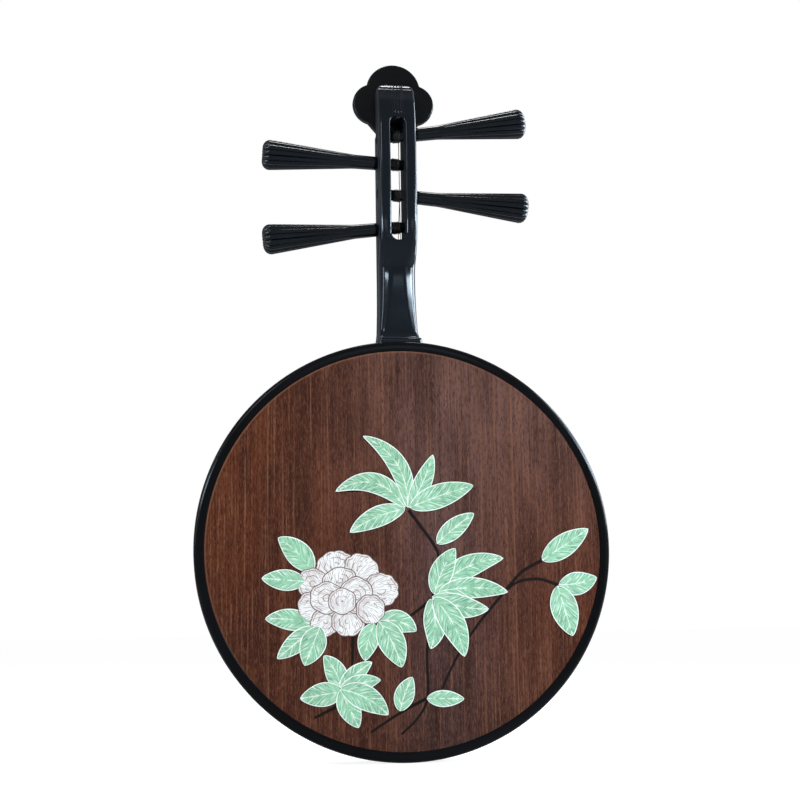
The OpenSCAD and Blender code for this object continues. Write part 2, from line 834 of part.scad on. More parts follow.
module bridge() {
  w = bridge_w / 2;
  color("#2a1712")
    difference() {
      translate([0, 0, bridge_z - bridge_t])
        linear_extrude(bridge_t)
          difference() {
            polygon([
              [-w, front_y],
              [w, front_y],
              [w, front_y + 2.5],
              [w - 3, front_y + 4],
              [w - 8, front_y + 5],
              [w - 11, front_y + 8],
              [w - 12.5, front_y + bridge_h - 1],
              [w - 14, front_y + bridge_h],
              [-w + 14, front_y + bridge_h],
              [-w + 12.5, front_y + bridge_h - 1],
              [-w + 11, front_y + 8],
              [-w + 8, front_y + 5],
              [-w + 3, front_y + 4],
              [-w, front_y + 2.5]
            ]);
            for (s = [-1, 1])
              translate([s * (w - 3), front_y + 5.8])
                circle(2, $fn = 32);
          }
      for (i = [0:3])
        translate([bridge_x(i), string_bridge_y, bridge_z - bridge_t - 1])
          cylinder(r = hole_r, h = bridge_t + 2, $fn = 16);
    }
}

// Inside the body

inside_back = -front_y + inlay_t + back_t;
inside_front = front_y - board_t;
inside_depth = inside_front - inside_back;

// A block glued inside the rim between the two panels; s is 1 at the neck and -1 at the tail
module rim_block(s, w, h) {
  difference() {
    translate([-w / 2, inside_back + seat_gap, body_r + (s > 0 ? inner_r - h : -inner_r - through)])
      cube([w, inside_depth - 2 * seat_gap, h + through]);
    difference() {
      round_body()
        cylinder(r = body_r, h = body_depth * 2, center = true, $fn = 180);
      round_body()
        cylinder(r = inner_r - seat_gap, h = body_depth * 3, center = true, $fn = 180);
    }
  }
}
module neck_block() {
  color("#b58f5e")
    difference() {
      rim_block(1, neck_block_w, neck_block_h);
      translate([-tenon_w / 2 - glue_gap, tenon_y - glue_gap, body_r + inner_r - tenon_len - glue_gap])
        cube([tenon_w + 2 * glue_gap, tenon_t + 2 * glue_gap, tenon_len + ledge_w + rim_w]);
    }
}
module end_block() {
  color("#b58f5e")
    rim_block(-1, end_block_w, end_block_h);
}

// A bar across the body at height dz from the middle, glued flat on a panel
module brace(y0, dz) {
  half = sqrt(pow(inner_r - seat_gap, 2) - pow(abs(dz) + brace_w / 2, 2));
  color("#b58f5e")
    translate([-half, y0, body_r + dz - brace_w / 2])
      cube([2 * half, brace_t, brace_w]);
}
module back_brace_upper() {
  brace(inside_back, brace_z);
}
module back_brace_lower() {
  brace(inside_back, -brace_z);
}
module board_brace_upper() {
  brace(inside_front - brace_t, brace_z);
}
module board_brace_lower() {
  brace(inside_front - brace_t, -brace_z);
}
module sound_post(s) {
  color("#b58f5e")
    translate([s * post_x, inside_back + seat_gap, body_r])
      rotate([-90, 0, 0])
        cylinder(r = post_r, h = inside_depth - 2 * seat_gap, $fn = 32);
}

// A thin wire whose end is let into the end block, so that it rings when the body is struck
module ringing_wire() {
  color("#9a9a9a")
    translate([0, 0, body_r - inner_r + end_block_h + seat_gap]) {
      cylinder(r = wire_r, h = wire_foot, $fn = 16);
      translate([wire_bend, 0, wire_foot])
        rotate([90, 0, 0])
          rotate([0, 0, 90])
            rotate_extrude(angle = 90, $fn = 96)
              translate([wire_bend, 0])
                circle(wire_r, $fn = 16);
    }
}

for (i = [0:rim_pieces - 1])
  rim(i);
back_panel();
leaf_inlay();
flower_inlay();
stem_inlay();
soundboard();
neck();
head_plate();
nut();
bridge();
for (i = [0:fret_count - 1])
  fret(i + 1);
for (i = [0:3])
  peg(i);
for (i = [0:3])
  winding(i);
for (i = [0:3])
  lute_string(i);
neck_block();
end_block();
back_brace_upper();
back_brace_lower();
board_brace_upper();
board_brace_lower();
sound_post(-1);  // sound_post_left
sound_post(1);  // sound_post_right
ringing_wire();
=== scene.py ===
"""A yueqin seen from behind: black lacquered rim and neck, stained back with a peony inlay, fluted pegs."""

import json
import logging
import math
from dataclasses import dataclass
from enum import Enum
from typing import Callable, Optional, Sequence

import bmesh
import bpy
import numpy as np
from mathutils import Matrix, Vector

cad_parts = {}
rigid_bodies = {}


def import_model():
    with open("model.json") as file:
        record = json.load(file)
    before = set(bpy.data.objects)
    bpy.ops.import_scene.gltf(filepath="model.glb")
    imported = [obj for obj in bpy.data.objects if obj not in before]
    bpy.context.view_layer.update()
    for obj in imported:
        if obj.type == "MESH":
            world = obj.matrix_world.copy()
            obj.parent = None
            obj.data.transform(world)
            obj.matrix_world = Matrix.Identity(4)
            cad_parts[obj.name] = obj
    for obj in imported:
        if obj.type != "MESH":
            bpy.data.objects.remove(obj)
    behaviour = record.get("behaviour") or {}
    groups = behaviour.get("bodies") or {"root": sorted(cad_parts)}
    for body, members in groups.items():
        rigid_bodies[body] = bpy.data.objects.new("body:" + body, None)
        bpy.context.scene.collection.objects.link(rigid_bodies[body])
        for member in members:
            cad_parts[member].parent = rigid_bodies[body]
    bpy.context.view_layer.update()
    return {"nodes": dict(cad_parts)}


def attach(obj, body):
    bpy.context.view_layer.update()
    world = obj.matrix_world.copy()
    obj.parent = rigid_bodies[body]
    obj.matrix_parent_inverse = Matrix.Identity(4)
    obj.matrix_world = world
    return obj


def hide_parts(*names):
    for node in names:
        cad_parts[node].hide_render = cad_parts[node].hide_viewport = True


LOG = logging.getLogger("yueqin")
MM = 0.001
Points = Sequence[Sequence[float]]


class Finish(Enum):
    """The record's material slot names; no piece here is given a slot from them."""

    BLACK = "black_lacquer"
    PEG = "peg_lacquer"
    BACK = "stained_back"
    GREEN = "green_inlay"
    PALE = "pale_inlay"
    STEM = "stem_inlay"
    BOARD = "paulownia_board"
    BONE = "bone"
    DARK = "dark_wood"
    BAMBOO = "bamboo"
    STRING = "string_wire"
    INSIDE = "raw_softwood"
    SPRING = "spring_wire"


# ---------------------------------------------------------------- shader sketches


class Sketch:
    """Adds and links shader nodes of one material."""

    def __init__(self, name: str) -> None:
        """Starts an empty material.

        Args:
            name: the material's name.
        """
        self.material = bpy.data.materials.new(name)
        self.material.use_nodes = True
        self.tree = self.material.node_tree
        self.tree.nodes.clear()
        self.out = self.tree.nodes.new("ShaderNodeOutputMaterial")

    def add(self, kind: str, inputs: Optional[dict] = None, **settings) -> bpy.types.Node:
        """Adds a node.

        Args:
            kind: the node's type.
            inputs: values or sockets by input name or index.
            settings: properties set on the node.

        Returns:
            The node.
        """
        node = self.tree.nodes.new(kind)
        for key, value in settings.items():
            setattr(node, key, value)
        for key, value in (inputs or {}).items():
            socket = node.inputs[key]
            if isinstance(value, bpy.types.NodeSocket):
                self.tree.links.new(value, socket)
            else:
                socket.default_value = value
        return node

    def math(self, operation: str, a, b=None, clamp: bool = False) -> bpy.types.NodeSocket:
        """Adds a Math node on one or two values and returns its result."""
        inputs = {0: a} if b is None else {0: a, 1: b}
        return self.add("ShaderNodeMath", inputs, operation=operation, use_clamp=clamp).outputs[0]

    def spread(self, value, low: float, high: float, to_low: float = 0.0, to_high: float = 1.0):
        """Maps a value smoothly from one range to another and returns the result."""
        inputs = {"Value": value, "From Min": low, "From Max": high, "To Min": to_low, "To Max": to_high}
        return self.add("ShaderNodeMapRange", inputs, interpolation_type="SMOOTHSTEP").outputs["Result"]

    def ramp(self, value, stops: Sequence[tuple[float, Sequence[float]]]):
        """Colours a value with a ramp.

        Args:
            value: the socket that drives the ramp.
            stops: positions with linear colours.

        Returns:
            The colour socket.
        """
        node = self.add("ShaderNodeValToRGB", {"Fac": value})
        ramp = node.color_ramp
        while len(ramp.elements) < len(stops):
            ramp.elements.new(0.5)
        for element, (place, colour) in zip(ramp.elements, stops):
            element.position = place
            element.color = (*colour[:3], 1.0)
        return node.outputs["Color"]

    def mix(self, factor, a, b):
        """Mixes two colours and returns the result."""
        node = self.add("ShaderNodeMix", data_type="RGBA")
        pairs = ((node.inputs["Factor"], factor), (node.inputs[6], a), (node.inputs[7], b))
        for socket, value in pairs:
            if isinstance(value, bpy.types.NodeSocket):
                self.tree.links.new(value, socket)
            elif isinstance(value, (int, float)):
                socket.default_value = value
            else:
                socket.default_value = (*value[:3], 1.0)
        return node.outputs[2]

    def place(self, scale: Sequence[float] = (1, 1, 1), shift: Sequence[float] = (0, 0, 0)):
        """Object coordinates, moved and stretched, in metres."""
        coords = self.add("ShaderNodeTexCoord").outputs["Object"]
        return self.add("ShaderNodeMapping", {"Vector": coords, "Scale": scale, "Location": shift}).outputs[0]

    def noise(self, vector, scale: float, detail: float = 3.0, rough: float = 0.5, distortion: float = 0.0):
        """A noise value between 0 and 1."""
        inputs = {"Vector": vector, "Scale": scale, "Detail": detail, "Roughness": rough,
                  "Distortion": distortion}
        return self.add("ShaderNodeTexNoise", inputs).outputs["Fac"]

    def bump(self, height, distance: float, strength: float = 1.0, normal=None):
        """A bump normal from a height, with distance in metres."""
        inputs = {"Height": height, "Distance": distance, "Strength": strength}
        if normal is not None:
            inputs["Normal"] = normal
        return self.add("ShaderNodeBump", inputs).outputs["Normal"]

    def attribute(self, name: str):
        """A float attribute of the piece."""
        return self.add("ShaderNodeAttribute", attribute_name=name).outputs["Fac"]

    def close(self, **sockets) -> bpy.types.Material:
        """Ends the material in a Principled shader.

        Args:
            sockets: Principled inputs, with an underscore for each space.

        Returns:
            The finished material.
        """
        inputs = {key.replace("_", " "): value for key, value in sockets.items()}
        shader = self.add("ShaderNodeBsdfPrincipled", inputs)
        self.tree.links.new(shader.outputs["BSDF"], self.out.inputs["Surface"])
        return self.material


@dataclass(frozen=True)
class BlackLacquer:
    """Thick brushed lacquer, nearly black, with faint waves and dust in the gloss."""

    name: str = "black lacquer"
    colour: tuple[float, float, float] = (0.0016, 0.0017, 0.0022)
    gloss: float = 0.1
    level: float = 0.12
    tint: tuple[float, float, float, float] = (0.84, 0.93, 1.0, 1.0)
    grooves: bool = False

    def material(self) -> bpy.types.Material:
        """Builds the lacquer."""
        s = Sketch(self.name)
        place = s.place()
        waves = s.noise(place, 24.0, 2.0, 0.45)
        dust = s.noise(place, 900.0, 2.0, 0.6)
        tone = s.noise(place, 9.0, 3.0)
        lighter = tuple(c * 2.0 for c in self.colour)
        colour = s.mix(s.spread(tone, 0.35, 0.75), self.colour, lighter)
        cloudy = s.spread(waves, 0.3, 0.7, self.gloss, self.gloss + 0.05)
        rough = s.math("ADD", s.spread(dust, 0.45, 0.8, 0.0, 0.08), cloudy)
        facing = s.add("ShaderNodeLayerWeight", {"Blend": 0.5}).outputs["Facing"]
        rough = s.math("ADD", rough, s.spread(facing, 0.55, 0.84, 0.0, 0.8), True)
        height = s.math("ADD", waves, s.math("MULTIPLY", dust, 0.02))
        normal = s.bump(height, 0.0009, 0.3)
        if self.grooves:
            normal = self.grain_lines(s, normal)
        return s.close(Base_Color=colour, Roughness=rough, Specular_IOR_Level=self.level,
                       Specular_Tint=self.tint, Normal=normal)

    def grain_lines(self, s: Sketch, normal):
        """Faint upright lines that show through the lacquer above the string slot."""
        parts = s.add("ShaderNodeSeparateXYZ", {0: s.add("ShaderNodeTexCoord").outputs["Object"]})
        wobble = s.math("MULTIPLY", s.math("SUBTRACT", s.noise(s.place((1, 1, 0.6)), 60.0, 2.0), 0.5), 0.0012)
        across = s.math("ADD", parts.outputs["X"], wobble)
        stripe = s.math("ABSOLUTE", s.math("SUBTRACT", s.math("FRACT", s.math("MULTIPLY", across, 360.0)), 0.5))
        near = s.spread(s.math("ABSOLUTE", s.math("SUBTRACT", parts.outputs["X"], 0.001)), 0.0035, 0.0062, 1.0, 0.0)
        height = s.spread(parts.outputs["Z"], 0.571, 0.576, 0.0, 1.0)
        deep = s.math("MULTIPLY", s.math("MULTIPLY", s.spread(stripe, 0.0, 0.2), near), height)
        return s.bump(deep, 0.0007, 0.8, normal)


@dataclass(frozen=True)
class StainedBack:
    """Straight grained boards, stained red brown, under thin satin varnish, with painted light on them: a grey sheen
    right of the middle, a highlight along the upper left edge, and a top lighter and a bottom darker partly by painted
    light and shade.
    """

    name: str = "stained back"
    warm: tuple[float, float, float] = (0.080, 0.018, 0.0055)
    middle: tuple[float, float, float] = (0.082, 0.028, 0.018)
    # grey for a painted sheen of window light right of the middle
    painted_sheen: tuple[float, float, float] = (0.078, 0.046, 0.050)
    # lighter tone for the top, partly stain and partly painted light from above
    upper: tuple[float, float, float] = (0.132, 0.064, 0.052)
    deep: tuple[float, float, float] = (0.022, 0.007, 0.004)
    pale: tuple[float, float, float] = (0.210, 0.088, 0.046)

    def material(self) -> bpy.types.Material:
        """Builds the stained wood."""
        s = Sketch(self.name)
        flat = s.add("ShaderNodeTexCoord").outputs["Object"]
        parts = s.add("ShaderNodeSeparateXYZ", {0: flat})
        height = parts.outputs["Z"]
        drift = s.math("MULTIPLY", s.math("SUBTRACT", s.noise(s.place((1, 1, 0.5)), 6.0, 2.0), 0.5), 0.012)
        across = s.math("ADD", parts.outputs["X"], drift)
        low = s.math("MULTIPLY", height, 0.11)
        bands = s.noise(s.add("ShaderNodeCombineXYZ", {0: across, 2: low}).outputs[0], 62.0, 4.0, 0.62)
        fibres = s.noise(s.place((1, 1, 0.012)), 720.0, 4.0, 0.72)
        pores = s.noise(s.place((1, 1, 0.22)), 1150.0, 2.0, 0.6)
        # The grey stop right of the middle is a painted sheen of reflected window light; the warm and middle stops are
        # the boards' own stain.
        tone = s.ramp(s.spread(across, -0.17, 0.17), (
            (0.0, self.warm), (0.42, self.middle), (0.64, self.painted_sheen), (0.86, self.middle), (1.0, self.warm)))
        # Lighter towards the top left and darker towards the bottom: partly the stain's own tone, partly painted light
        # from above and painted shade low on the panel.
        high = s.spread(height, 0.1, 0.35)
        tone = s.mix(s.math("MULTIPLY", high, s.spread(across, -0.12, 0.08)), tone, self.upper)
        tone = s.mix(s.spread(height, 0.22, 0.02, 0.0, 0.45), tone, self.lit(self.middle, 0.5))
        streak = s.math("ABSOLUTE", s.math("SUBTRACT", across, 0.021))
        streak = s.math("MULTIPLY", s.spread(streak, 0.003, 0.014, 1.0, 0.0), s.spread(height, 0.22, 0.32))
        tone = s.mix(s.math("MULTIPLY", streak, 0.62), tone, self.deep)
        clouds = s.noise(s.place((1, 1, 0.55)), 19.0, 3.0, 0.55)
        tone = s.mix(s.spread(clouds, 0.48, 0.70, 0.0, 0.5), tone, self.deep)
        tone = s.mix(s.spread(bands, 0.38, 0.72, 0.0, 0.62), tone, self.deep)
        tone = s.mix(s.spread(bands, 0.46, 0.26, 0.0, 0.30), tone, self.pale)
        tone = s.mix(s.spread(fibres, 0.52, 0.72, 0.0, 0.68), tone, self.pale)
        tone = s.mix(s.spread(fibres, 0.48, 0.3, 0.0, 0.75), tone, self.deep)
        tone = s.mix(s.spread(pores, 0.53, 0.68, 0.0, 0.65), tone, self.lit(self.deep, 0.6))
        tone = s.mix(s.spread(pores, 0.46, 0.34, 0.0, 0.28), tone, self.pale)
        for seam, share in ((0.0952, 0.4), (0.0672, 0.25), (0.048, 0.2), (-0.118, 0.2)):
            line = s.math("ABSOLUTE", s.math("SUBTRACT", parts.outputs["X"], seam))
            line = s.spread(line, 0.0002, 0.0011, share, 0.0)
            tone = s.mix(line, tone, self.pale)
        # A pale line round the panel's edge, only on the upper left: a painted highlight where the edge catches the
        # light.
        middle = s.add("ShaderNodeVectorMath", {0: flat, 1: (0.0, -0.0212, 0.18)}, operation="DISTANCE")
        edge = s.spread(middle.outputs["Value"], 0.1690, 0.1702)
        lit_side = s.spread(s.math("SUBTRACT", height, parts.outputs["X"]), 0.15, 0.40)
        tone = s.mix(s.math("MULTIPLY", edge, s.math("MULTIPLY", lit_side, 0.6)), tone, self.pale)
        rough = s.spread(fibres, 0.3, 0.75, 0.38, 0.5)
        relief = s.math("SUBTRACT", s.math("MULTIPLY", fibres, 0.5), s.math("MULTIPLY", pores, 0.3))
        normal = s.bump(relief, 0.0002, 0.5)
        return s.close(Base_Color=tone, Roughness=rough, Specular_IOR_Level=0.06, Normal=normal)

    @staticmethod
    def lit(colour: Sequence[float], share: float) -> tuple:
        """A colour made lighter or darker."""
        return tuple(c * share for c in colour)


@dataclass(frozen=True)
class LeafPaint:
    """Mint green leaf with a white brushed edge, white veins and fine dark and light strokes."""

    name: str = "leaf inlay"
    green: tuple[float, float, float] = (0.262, 0.545, 0.350)
    shade: tuple[float, float, float] = (0.035, 0.115, 0.072)
    white: tuple[float, float, float] = (0.80, 0.84, 0.79)
    border: float = 0.7
    vein_step: float = 5.5

    def material(self) -> bpy.types.Material:
        """Builds the leaf paint, which reads the leaf's UV map in centimetres and its edge and rib attributes."""
        s = Sketch(self.name)
        uv = s.add("ShaderNodeUVMap", uv_map="UVMap").outputs["UV"]
        parts = s.add("ShaderNodeSeparateXYZ", {0: uv})
        along = s.math("MULTIPLY", parts.outputs["X"], 10.0)
        side = s.math("ABSOLUTE", s.math("MULTIPLY", parts.outputs["Y"], 10.0))
        wobble = s.math("SUBTRACT", s.noise(s.place(), 230.0, 3.0, 0.6), 0.5)
        edge = s.math("ADD", s.attribute("edge"), s.math("MULTIPLY", wobble, 1.3))
        rib = s.math("ADD", side, s.math("MULTIPLY", wobble, 1.6))
        out = s.math("ADD", s.math("MULTIPLY", along, 0.82), s.math("MULTIPLY", side, 0.57))
        cross = s.math("SUBTRACT", s.math("MULTIPLY", along, 0.57), s.math("MULTIPLY", side, 0.82))
        cross = s.math("ADD", cross, s.math("MULTIPLY", wobble, 2.2))
        turn = s.math("DIVIDE", cross, self.vein_step)
        vein = s.math("ABSOLUTE", s.math("SUBTRACT", s.math("FRACT", turn), 0.5))
        broken = s.noise(s.place(), 130.0, 2.0)
        vein = s.math("MULTIPLY", s.spread(vein, 0.02, 0.09, 1.0, 0.0), s.spread(broken, 0.40, 0.56))
        line = s.add("ShaderNodeCombineXYZ", {0: s.math("MULTIPLY", out, 0.09), 1: s.math("MULTIPLY", cross, 1.25)})
        strokes = s.noise(line.outputs[0], 1.0, 3.0, 0.65, 0.5)
        cloud = s.noise(s.place(), 60.0, 3.0)
        tone = s.mix(s.spread(cloud, 0.35, 0.68), self.green, tuple(c * 0.84 for c in self.green))
        tone = s.mix(s.spread(strokes, 0.52, 0.64, 0.0, 0.76), tone, self.shade)
        tone = s.mix(s.spread(strokes, 0.46, 0.34, 0.0, 0.55), tone, self.white)
        tone = s.mix(s.math("MULTIPLY", vein, 0.7), tone, self.white)
        main = s.math("MULTIPLY", s.spread(rib, 0.2, 0.6, 1.0, 0.0), s.spread(broken, 0.36, 0.5))
        tone = s.mix(s.math("MULTIPLY", main, 0.72), tone, self.white)
        tone = s.mix(s.spread(edge, self.border - 0.25, self.border + 0.3, 1.0, 0.0), tone, self.white)
        rough = s.spread(strokes, 0.3, 0.7, 0.45, 0.58)
        normal = s.bump(s.math("ADD", strokes, vein), 0.00015, 0.4)
        return s.close(Base_Color=tone, Roughness=rough, Specular_IOR_Level=0.15, Normal=normal)


@dataclass(frozen=True)
class PetalPaint:
    """Chalk white petal with a brown outline and long fanned brush lines."""

    name: str = "petal inlay"
    white: tuple[float, float, float] = (0.765, 0.76, 0.755)
    blush: tuple[float, float, float] = (0.60, 0.53, 0.515)
    line: tuple[float, float, float] = (0.110, 0.042, 0.030)
    line_step: float = 1.7

    def material(self) -> bpy.types.Material:
        """Builds the petal paint, which reads the petal's UV map in centimetres and its edge attribute."""
        s = Sketch(self.name)
        uv = s.add("ShaderNodeUVMap", uv_map="UVMap").outputs["UV"]
        parts = s.add("ShaderNodeSeparateXYZ", {0: uv})
        across = s.math("MULTIPLY", parts.outputs["X"], 10.0)
        out = s.math("MULTIPLY", parts.outputs["Y"], 10.0)
        wobble = s.math("SUBTRACT", s.noise(s.place(), 200.0, 3.0, 0.6), 0.5)
        edge = s.math("ADD", s.attribute("edge"), s.math("MULTIPLY", wobble, 0.7))
        bend = s.math("MULTIPLY", s.math("MULTIPLY", out, out), 0.007)
        lines = s.math("DIVIDE", s.math("ADD", s.math("ADD", across, bend), s.math("MULTIPLY", wobble, 1.8)), self.line_step)
        lines = s.math("ABSOLUTE", s.math("SUBTRACT", s.math("FRACT", lines), 0.5))
        dashes = s.add("ShaderNodeCombineXYZ", {0: s.math("MULTIPLY", across, 0.5), 1: s.math("MULTIPLY", out, 0.085)})
        broken = s.noise(dashes.outputs[0], 1.0, 2.0)
        hatch = s.math("MULTIPLY", s.spread(lines, 0.07, 0.2, 1.0, 0.0), s.spread(broken, 0.44, 0.52))
        cloud = s.noise(s.place(), 90.0, 3.0)
        arcs = s.math("DIVIDE", s.math("ADD", edge, s.math("MULTIPLY", wobble, 1.5)), 4.6)
        arcs = s.math("ABSOLUTE", s.math("SUBTRACT", s.math("FRACT", arcs), 0.5))
        arcs = s.math("MULTIPLY", s.spread(arcs, 0.05, 0.12, 1.0, 0.0), s.spread(cloud, 0.45, 0.51))
        tone = s.mix(s.spread(cloud, 0.42, 0.72, 0.0, 0.6), self.white, self.blush)
        tone = s.mix(s.math("MULTIPLY", s.math("MAXIMUM", hatch, arcs), 0.72), tone, self.line)
        tone = s.mix(s.spread(edge, 1.2, 2.6, 0.22, 0.0), tone, self.blush)
        tone = s.mix(s.spread(edge, 0.55, 1.0, 0.95, 0.0), tone, self.line)
        rough = s.spread(cloud, 0.3, 0.7, 0.45, 0.56)
        normal = s.bump(hatch, 0.00012, 0.4)
        return s.close(Base_Color=tone, Roughness=rough, Specular_IOR_Level=0.15, Normal=normal)


@dataclass(frozen=True)
class GrainedWood:
    """Plain wood with grain along one axis: its two tones, how fine the grain is, and its gloss."""

    name: str
    light: tuple[float, float, float]
    dark: tuple[float, float, float]
    stretch: tuple[float, float, float] = (1.0, 1.0, 0.05)
    scale: float = 420.0
    rough: float = 0.5
    level: float = 0.35
    relief: float = 0.0002

    def material(self) -> bpy.types.Material:
        """Builds the wood."""
        s = Sketch(self.name)
        place = s.place(self.stretch)
        fibres = s.noise(place, self.scale, 4.0, 0.6)
        bands = s.noise(place, self.scale * 0.16, 3.0, 0.5, 0.3)
        tone = s.mix(s.spread(bands, 0.3, 0.7), self.light, self.dark)
        tone = s.mix(s.spread(fibres, 0.5, 0.72, 0.0, 0.6), tone, self.dark)
        rough = s.spread(fibres, 0.3, 0.7, self.rough, self.rough + 0.12)
        normal = s.bump(fibres, self.relief, 0.5)
        return s.close(Base_Color=tone, Roughness=rough, Specular_IOR_Level=self.level, Normal=normal)


@dataclass(frozen=True)
class DrawnWire:
    """Fine wire or wound string: lay lines along it and a dull shine."""

    name: str
    colour: tuple[float, float, float]
    metal: float = 1.0
    rough: float = 0.35
    level: float = 0.5

    def material(self) -> bpy.types.Material:
        """Builds the wire."""
        s = Sketch(self.name)
        place = s.place()
        wear = s.noise(place, 300.0, 3.0)
        fine = s.noise(place, 2600.0, 1.0)
        tone = s.mix(s.spread(wear, 0.35, 0.7), self.colour, tuple(c * 0.6 for c in self.colour))
        rough = s.spread(wear, 0.3, 0.7, self.rough, self.rough + 0.15)
        return s.close(Base_Color=tone, Metallic=self.metal, Roughness=rough, Specular_IOR_Level=self.level,
                       Normal=s.bump(fine, 0.00005, 0.4))


@dataclass(frozen=True)
class MasticAndShadow:
    """Dark filler that shows round each inlaid piece; the ring it makes round each piece is also a painted shadow of
    the raised piece on the panel.
    """

    name: str = "dark mastic"
    colour: tuple[float, float, float] = (0.0055, 0.0028, 0.0022)

    def material(self) -> bpy.types.Material:
        """Builds the filler."""
        s = Sketch(self.name)
        grain = s.noise(s.place(), 700.0, 3.0)
        tone = s.mix(s.spread(grain, 0.4, 0.7), self.colour, tuple(c * 2.2 for c in self.colour))
        return s.close(Base_Color=tone, Roughness=s.spread(grain, 0.3, 0.7, 0.45, 0.6),
                       Specular_IOR_Level=0.05, Normal=s.bump(grain, 0.0001, 0.4))


# ---------------------------------------------------------------- mesh making


def solid(name: str, points: Points, faces: Sequence[Sequence[int]], material: bpy.types.Material,
          angle: float = 38.0, extra: Sequence[bpy.types.Material] = ()) -> bpy.types.Object:
    """Makes a closed mesh object from points in millimetres.

    Args:
        name: the piece's name.
        points: its vertices.
        faces: its faces.
        material: the first material slot.
        angle: edges sharper than this stay sharp.
        extra: further material slots.

    Returns:
        The object, at the origin.
    """
    mesh = bpy.data.meshes.new(name)
    mesh.from_pydata([tuple(c * MM for c in p) for p in points], [], [tuple(f) for f in faces])
    for m in (material, *extra):
        mesh.materials.append(m)
    piece = bpy.data.objects.new(name, mesh)
    bpy.context.scene.collection.objects.link(piece)
    outward(piece)
    shade(piece, angle)
    return piece


def outward(piece: bpy.types.Object) -> None:
    """Turns every face of a closed mesh outwards."""
    work = bmesh.new()
    work.from_mesh(piece.data)
    bmesh.ops.recalc_face_normals(work, faces=work.faces)
    work.to_mesh(piece.data)
    work.free()


def shade(piece: bpy.types.Object, angle: float) -> None:
    """Smooths a mesh except over edges sharper than an angle in degrees."""
    work = bmesh.new()
    work.from_mesh(piece.data)
    limit = math.radians(angle)
    for face in work.faces:
        face.smooth = True
    for edge in work.edges:
        edge.smooth = len(edge.link_faces) == 2 and edge.calc_face_angle(0.0) < limit
    work.to_mesh(piece.data)
    work.free()


def loft(rings: Sequence[Points], closed: bool = True, caps: bool = True) -> tuple[list, list]:
    """Joins rings of equal length into a skin.

    Args:
        rings: the rings, each a list of points.
        closed: whether each ring closes on itself.
        caps: whether the first and last ring are filled.

    Returns:
        The points and the faces.
    """
    n = len(rings[0])
    points = [p for ring in rings for p in ring]
    faces = []
    for r in range(len(rings) - 1):
        for i in range(n if closed else n - 1):
            j = (i + 1) % n
            faces.append((r * n + i, r * n + j, (r + 1) * n + j, (r + 1) * n + i))
    if caps:
        faces.append(tuple(range(n - 1, -1, -1)))
        faces.append(tuple((len(rings) - 1) * n + i for i in range(n)))
    return points, faces


def lathe(profile: Points, steps: int, wrap: bool) -> tuple[list, list]:
    """Turns a profile of (distance along, radius) round the x axis.

    Args:
        profile: the outline, from end to end.
        steps: points round the axis.
        wrap: whether the profile closes on itself, as a ring's section does.

    Returns:
        The points and the faces.
    """
    rings = []
    for k in range(steps):
        a = 2 * math.pi * k / steps
        rings.append([(x, r * math.cos(a), r * math.sin(a)) for x, r in profile])
    n = len(profile)
    points = [p for ring in rings for p in ring]
    faces = []
    for k in range(steps):
        m = (k + 1) % steps
        for i in range(n if wrap else n - 1):
            j = (i + 1) % n
            faces.append((k * n + i, k * n + j, m * n + j, m * n + i))
    return points, faces


def welded(piece: bpy.types.Object, gap: float = 1e-7) -> bpy.types.Object:
    """Merges doubled points and drops faces without area."""
    work = bmesh.new()
    work.from_mesh(piece.data)
    bmesh.ops.remove_doubles(work, verts=work.verts, dist=gap)
    bmesh.ops.dissolve_degenerate(work, dist=gap, edges=work.edges)
    bmesh.ops.recalc_face_normals(work, faces=work.faces)
    work.to_mesh(piece.data)
    work.free()
    return piece


def carve(piece: bpy.types.Object, cutters: Sequence[bpy.types.Object]) -> bpy.types.Object:
    """Cuts solids out of a piece and removes them.

    Args:
        piece: the piece to cut.
        cutters: closed meshes that are taken away from it.

    Returns:
        The piece.
    """
    for cutter in cutters:
        modifier = piece.modifiers.new("cut", "BOOLEAN")
        modifier.operation = "DIFFERENCE"
        modifier.solver = "EXACT"
        modifier.object = cutter
        settle(piece)
        bpy.data.objects.remove(cutter)
    return piece


def settle(piece: bpy.types.Object) -> bpy.types.Object:
    """Applies a piece's modifiers to its mesh."""
    graph = bpy.context.evaluated_depsgraph_get()
    mesh = bpy.data.meshes.new_from_object(piece.evaluated_get(graph), depsgraph=graph)
    piece.modifiers.clear()
    piece.data = mesh
    return piece


def catmull(a: float, b: float, c: float, d: float, t: float) -> float:
    """A smooth value between b and c."""
    return 0.5 * (2 * b + (c - a) * t + (2 * a - 5 * b + 4 * c - d) * t * t + (3 * b - a - 3 * c + d) * t ** 3)


def smooth_path(points: Points, steps: int) -> list:
    """A smooth curve through points, with steps between each two."""
    last = len(points) - 1
    path = []
    for k in range(last):
        quad = [points[min(max(k + o, 0), last)] for o in (-1, 0, 1, 2)]
        for s in range(steps):
            path.append([catmull(*(q[i] for q in quad), s / steps) for i in range(len(points[0]))])
    path.append(list(points[last]))
    return path


# ---------------------------------------------------------------- geometry node trees


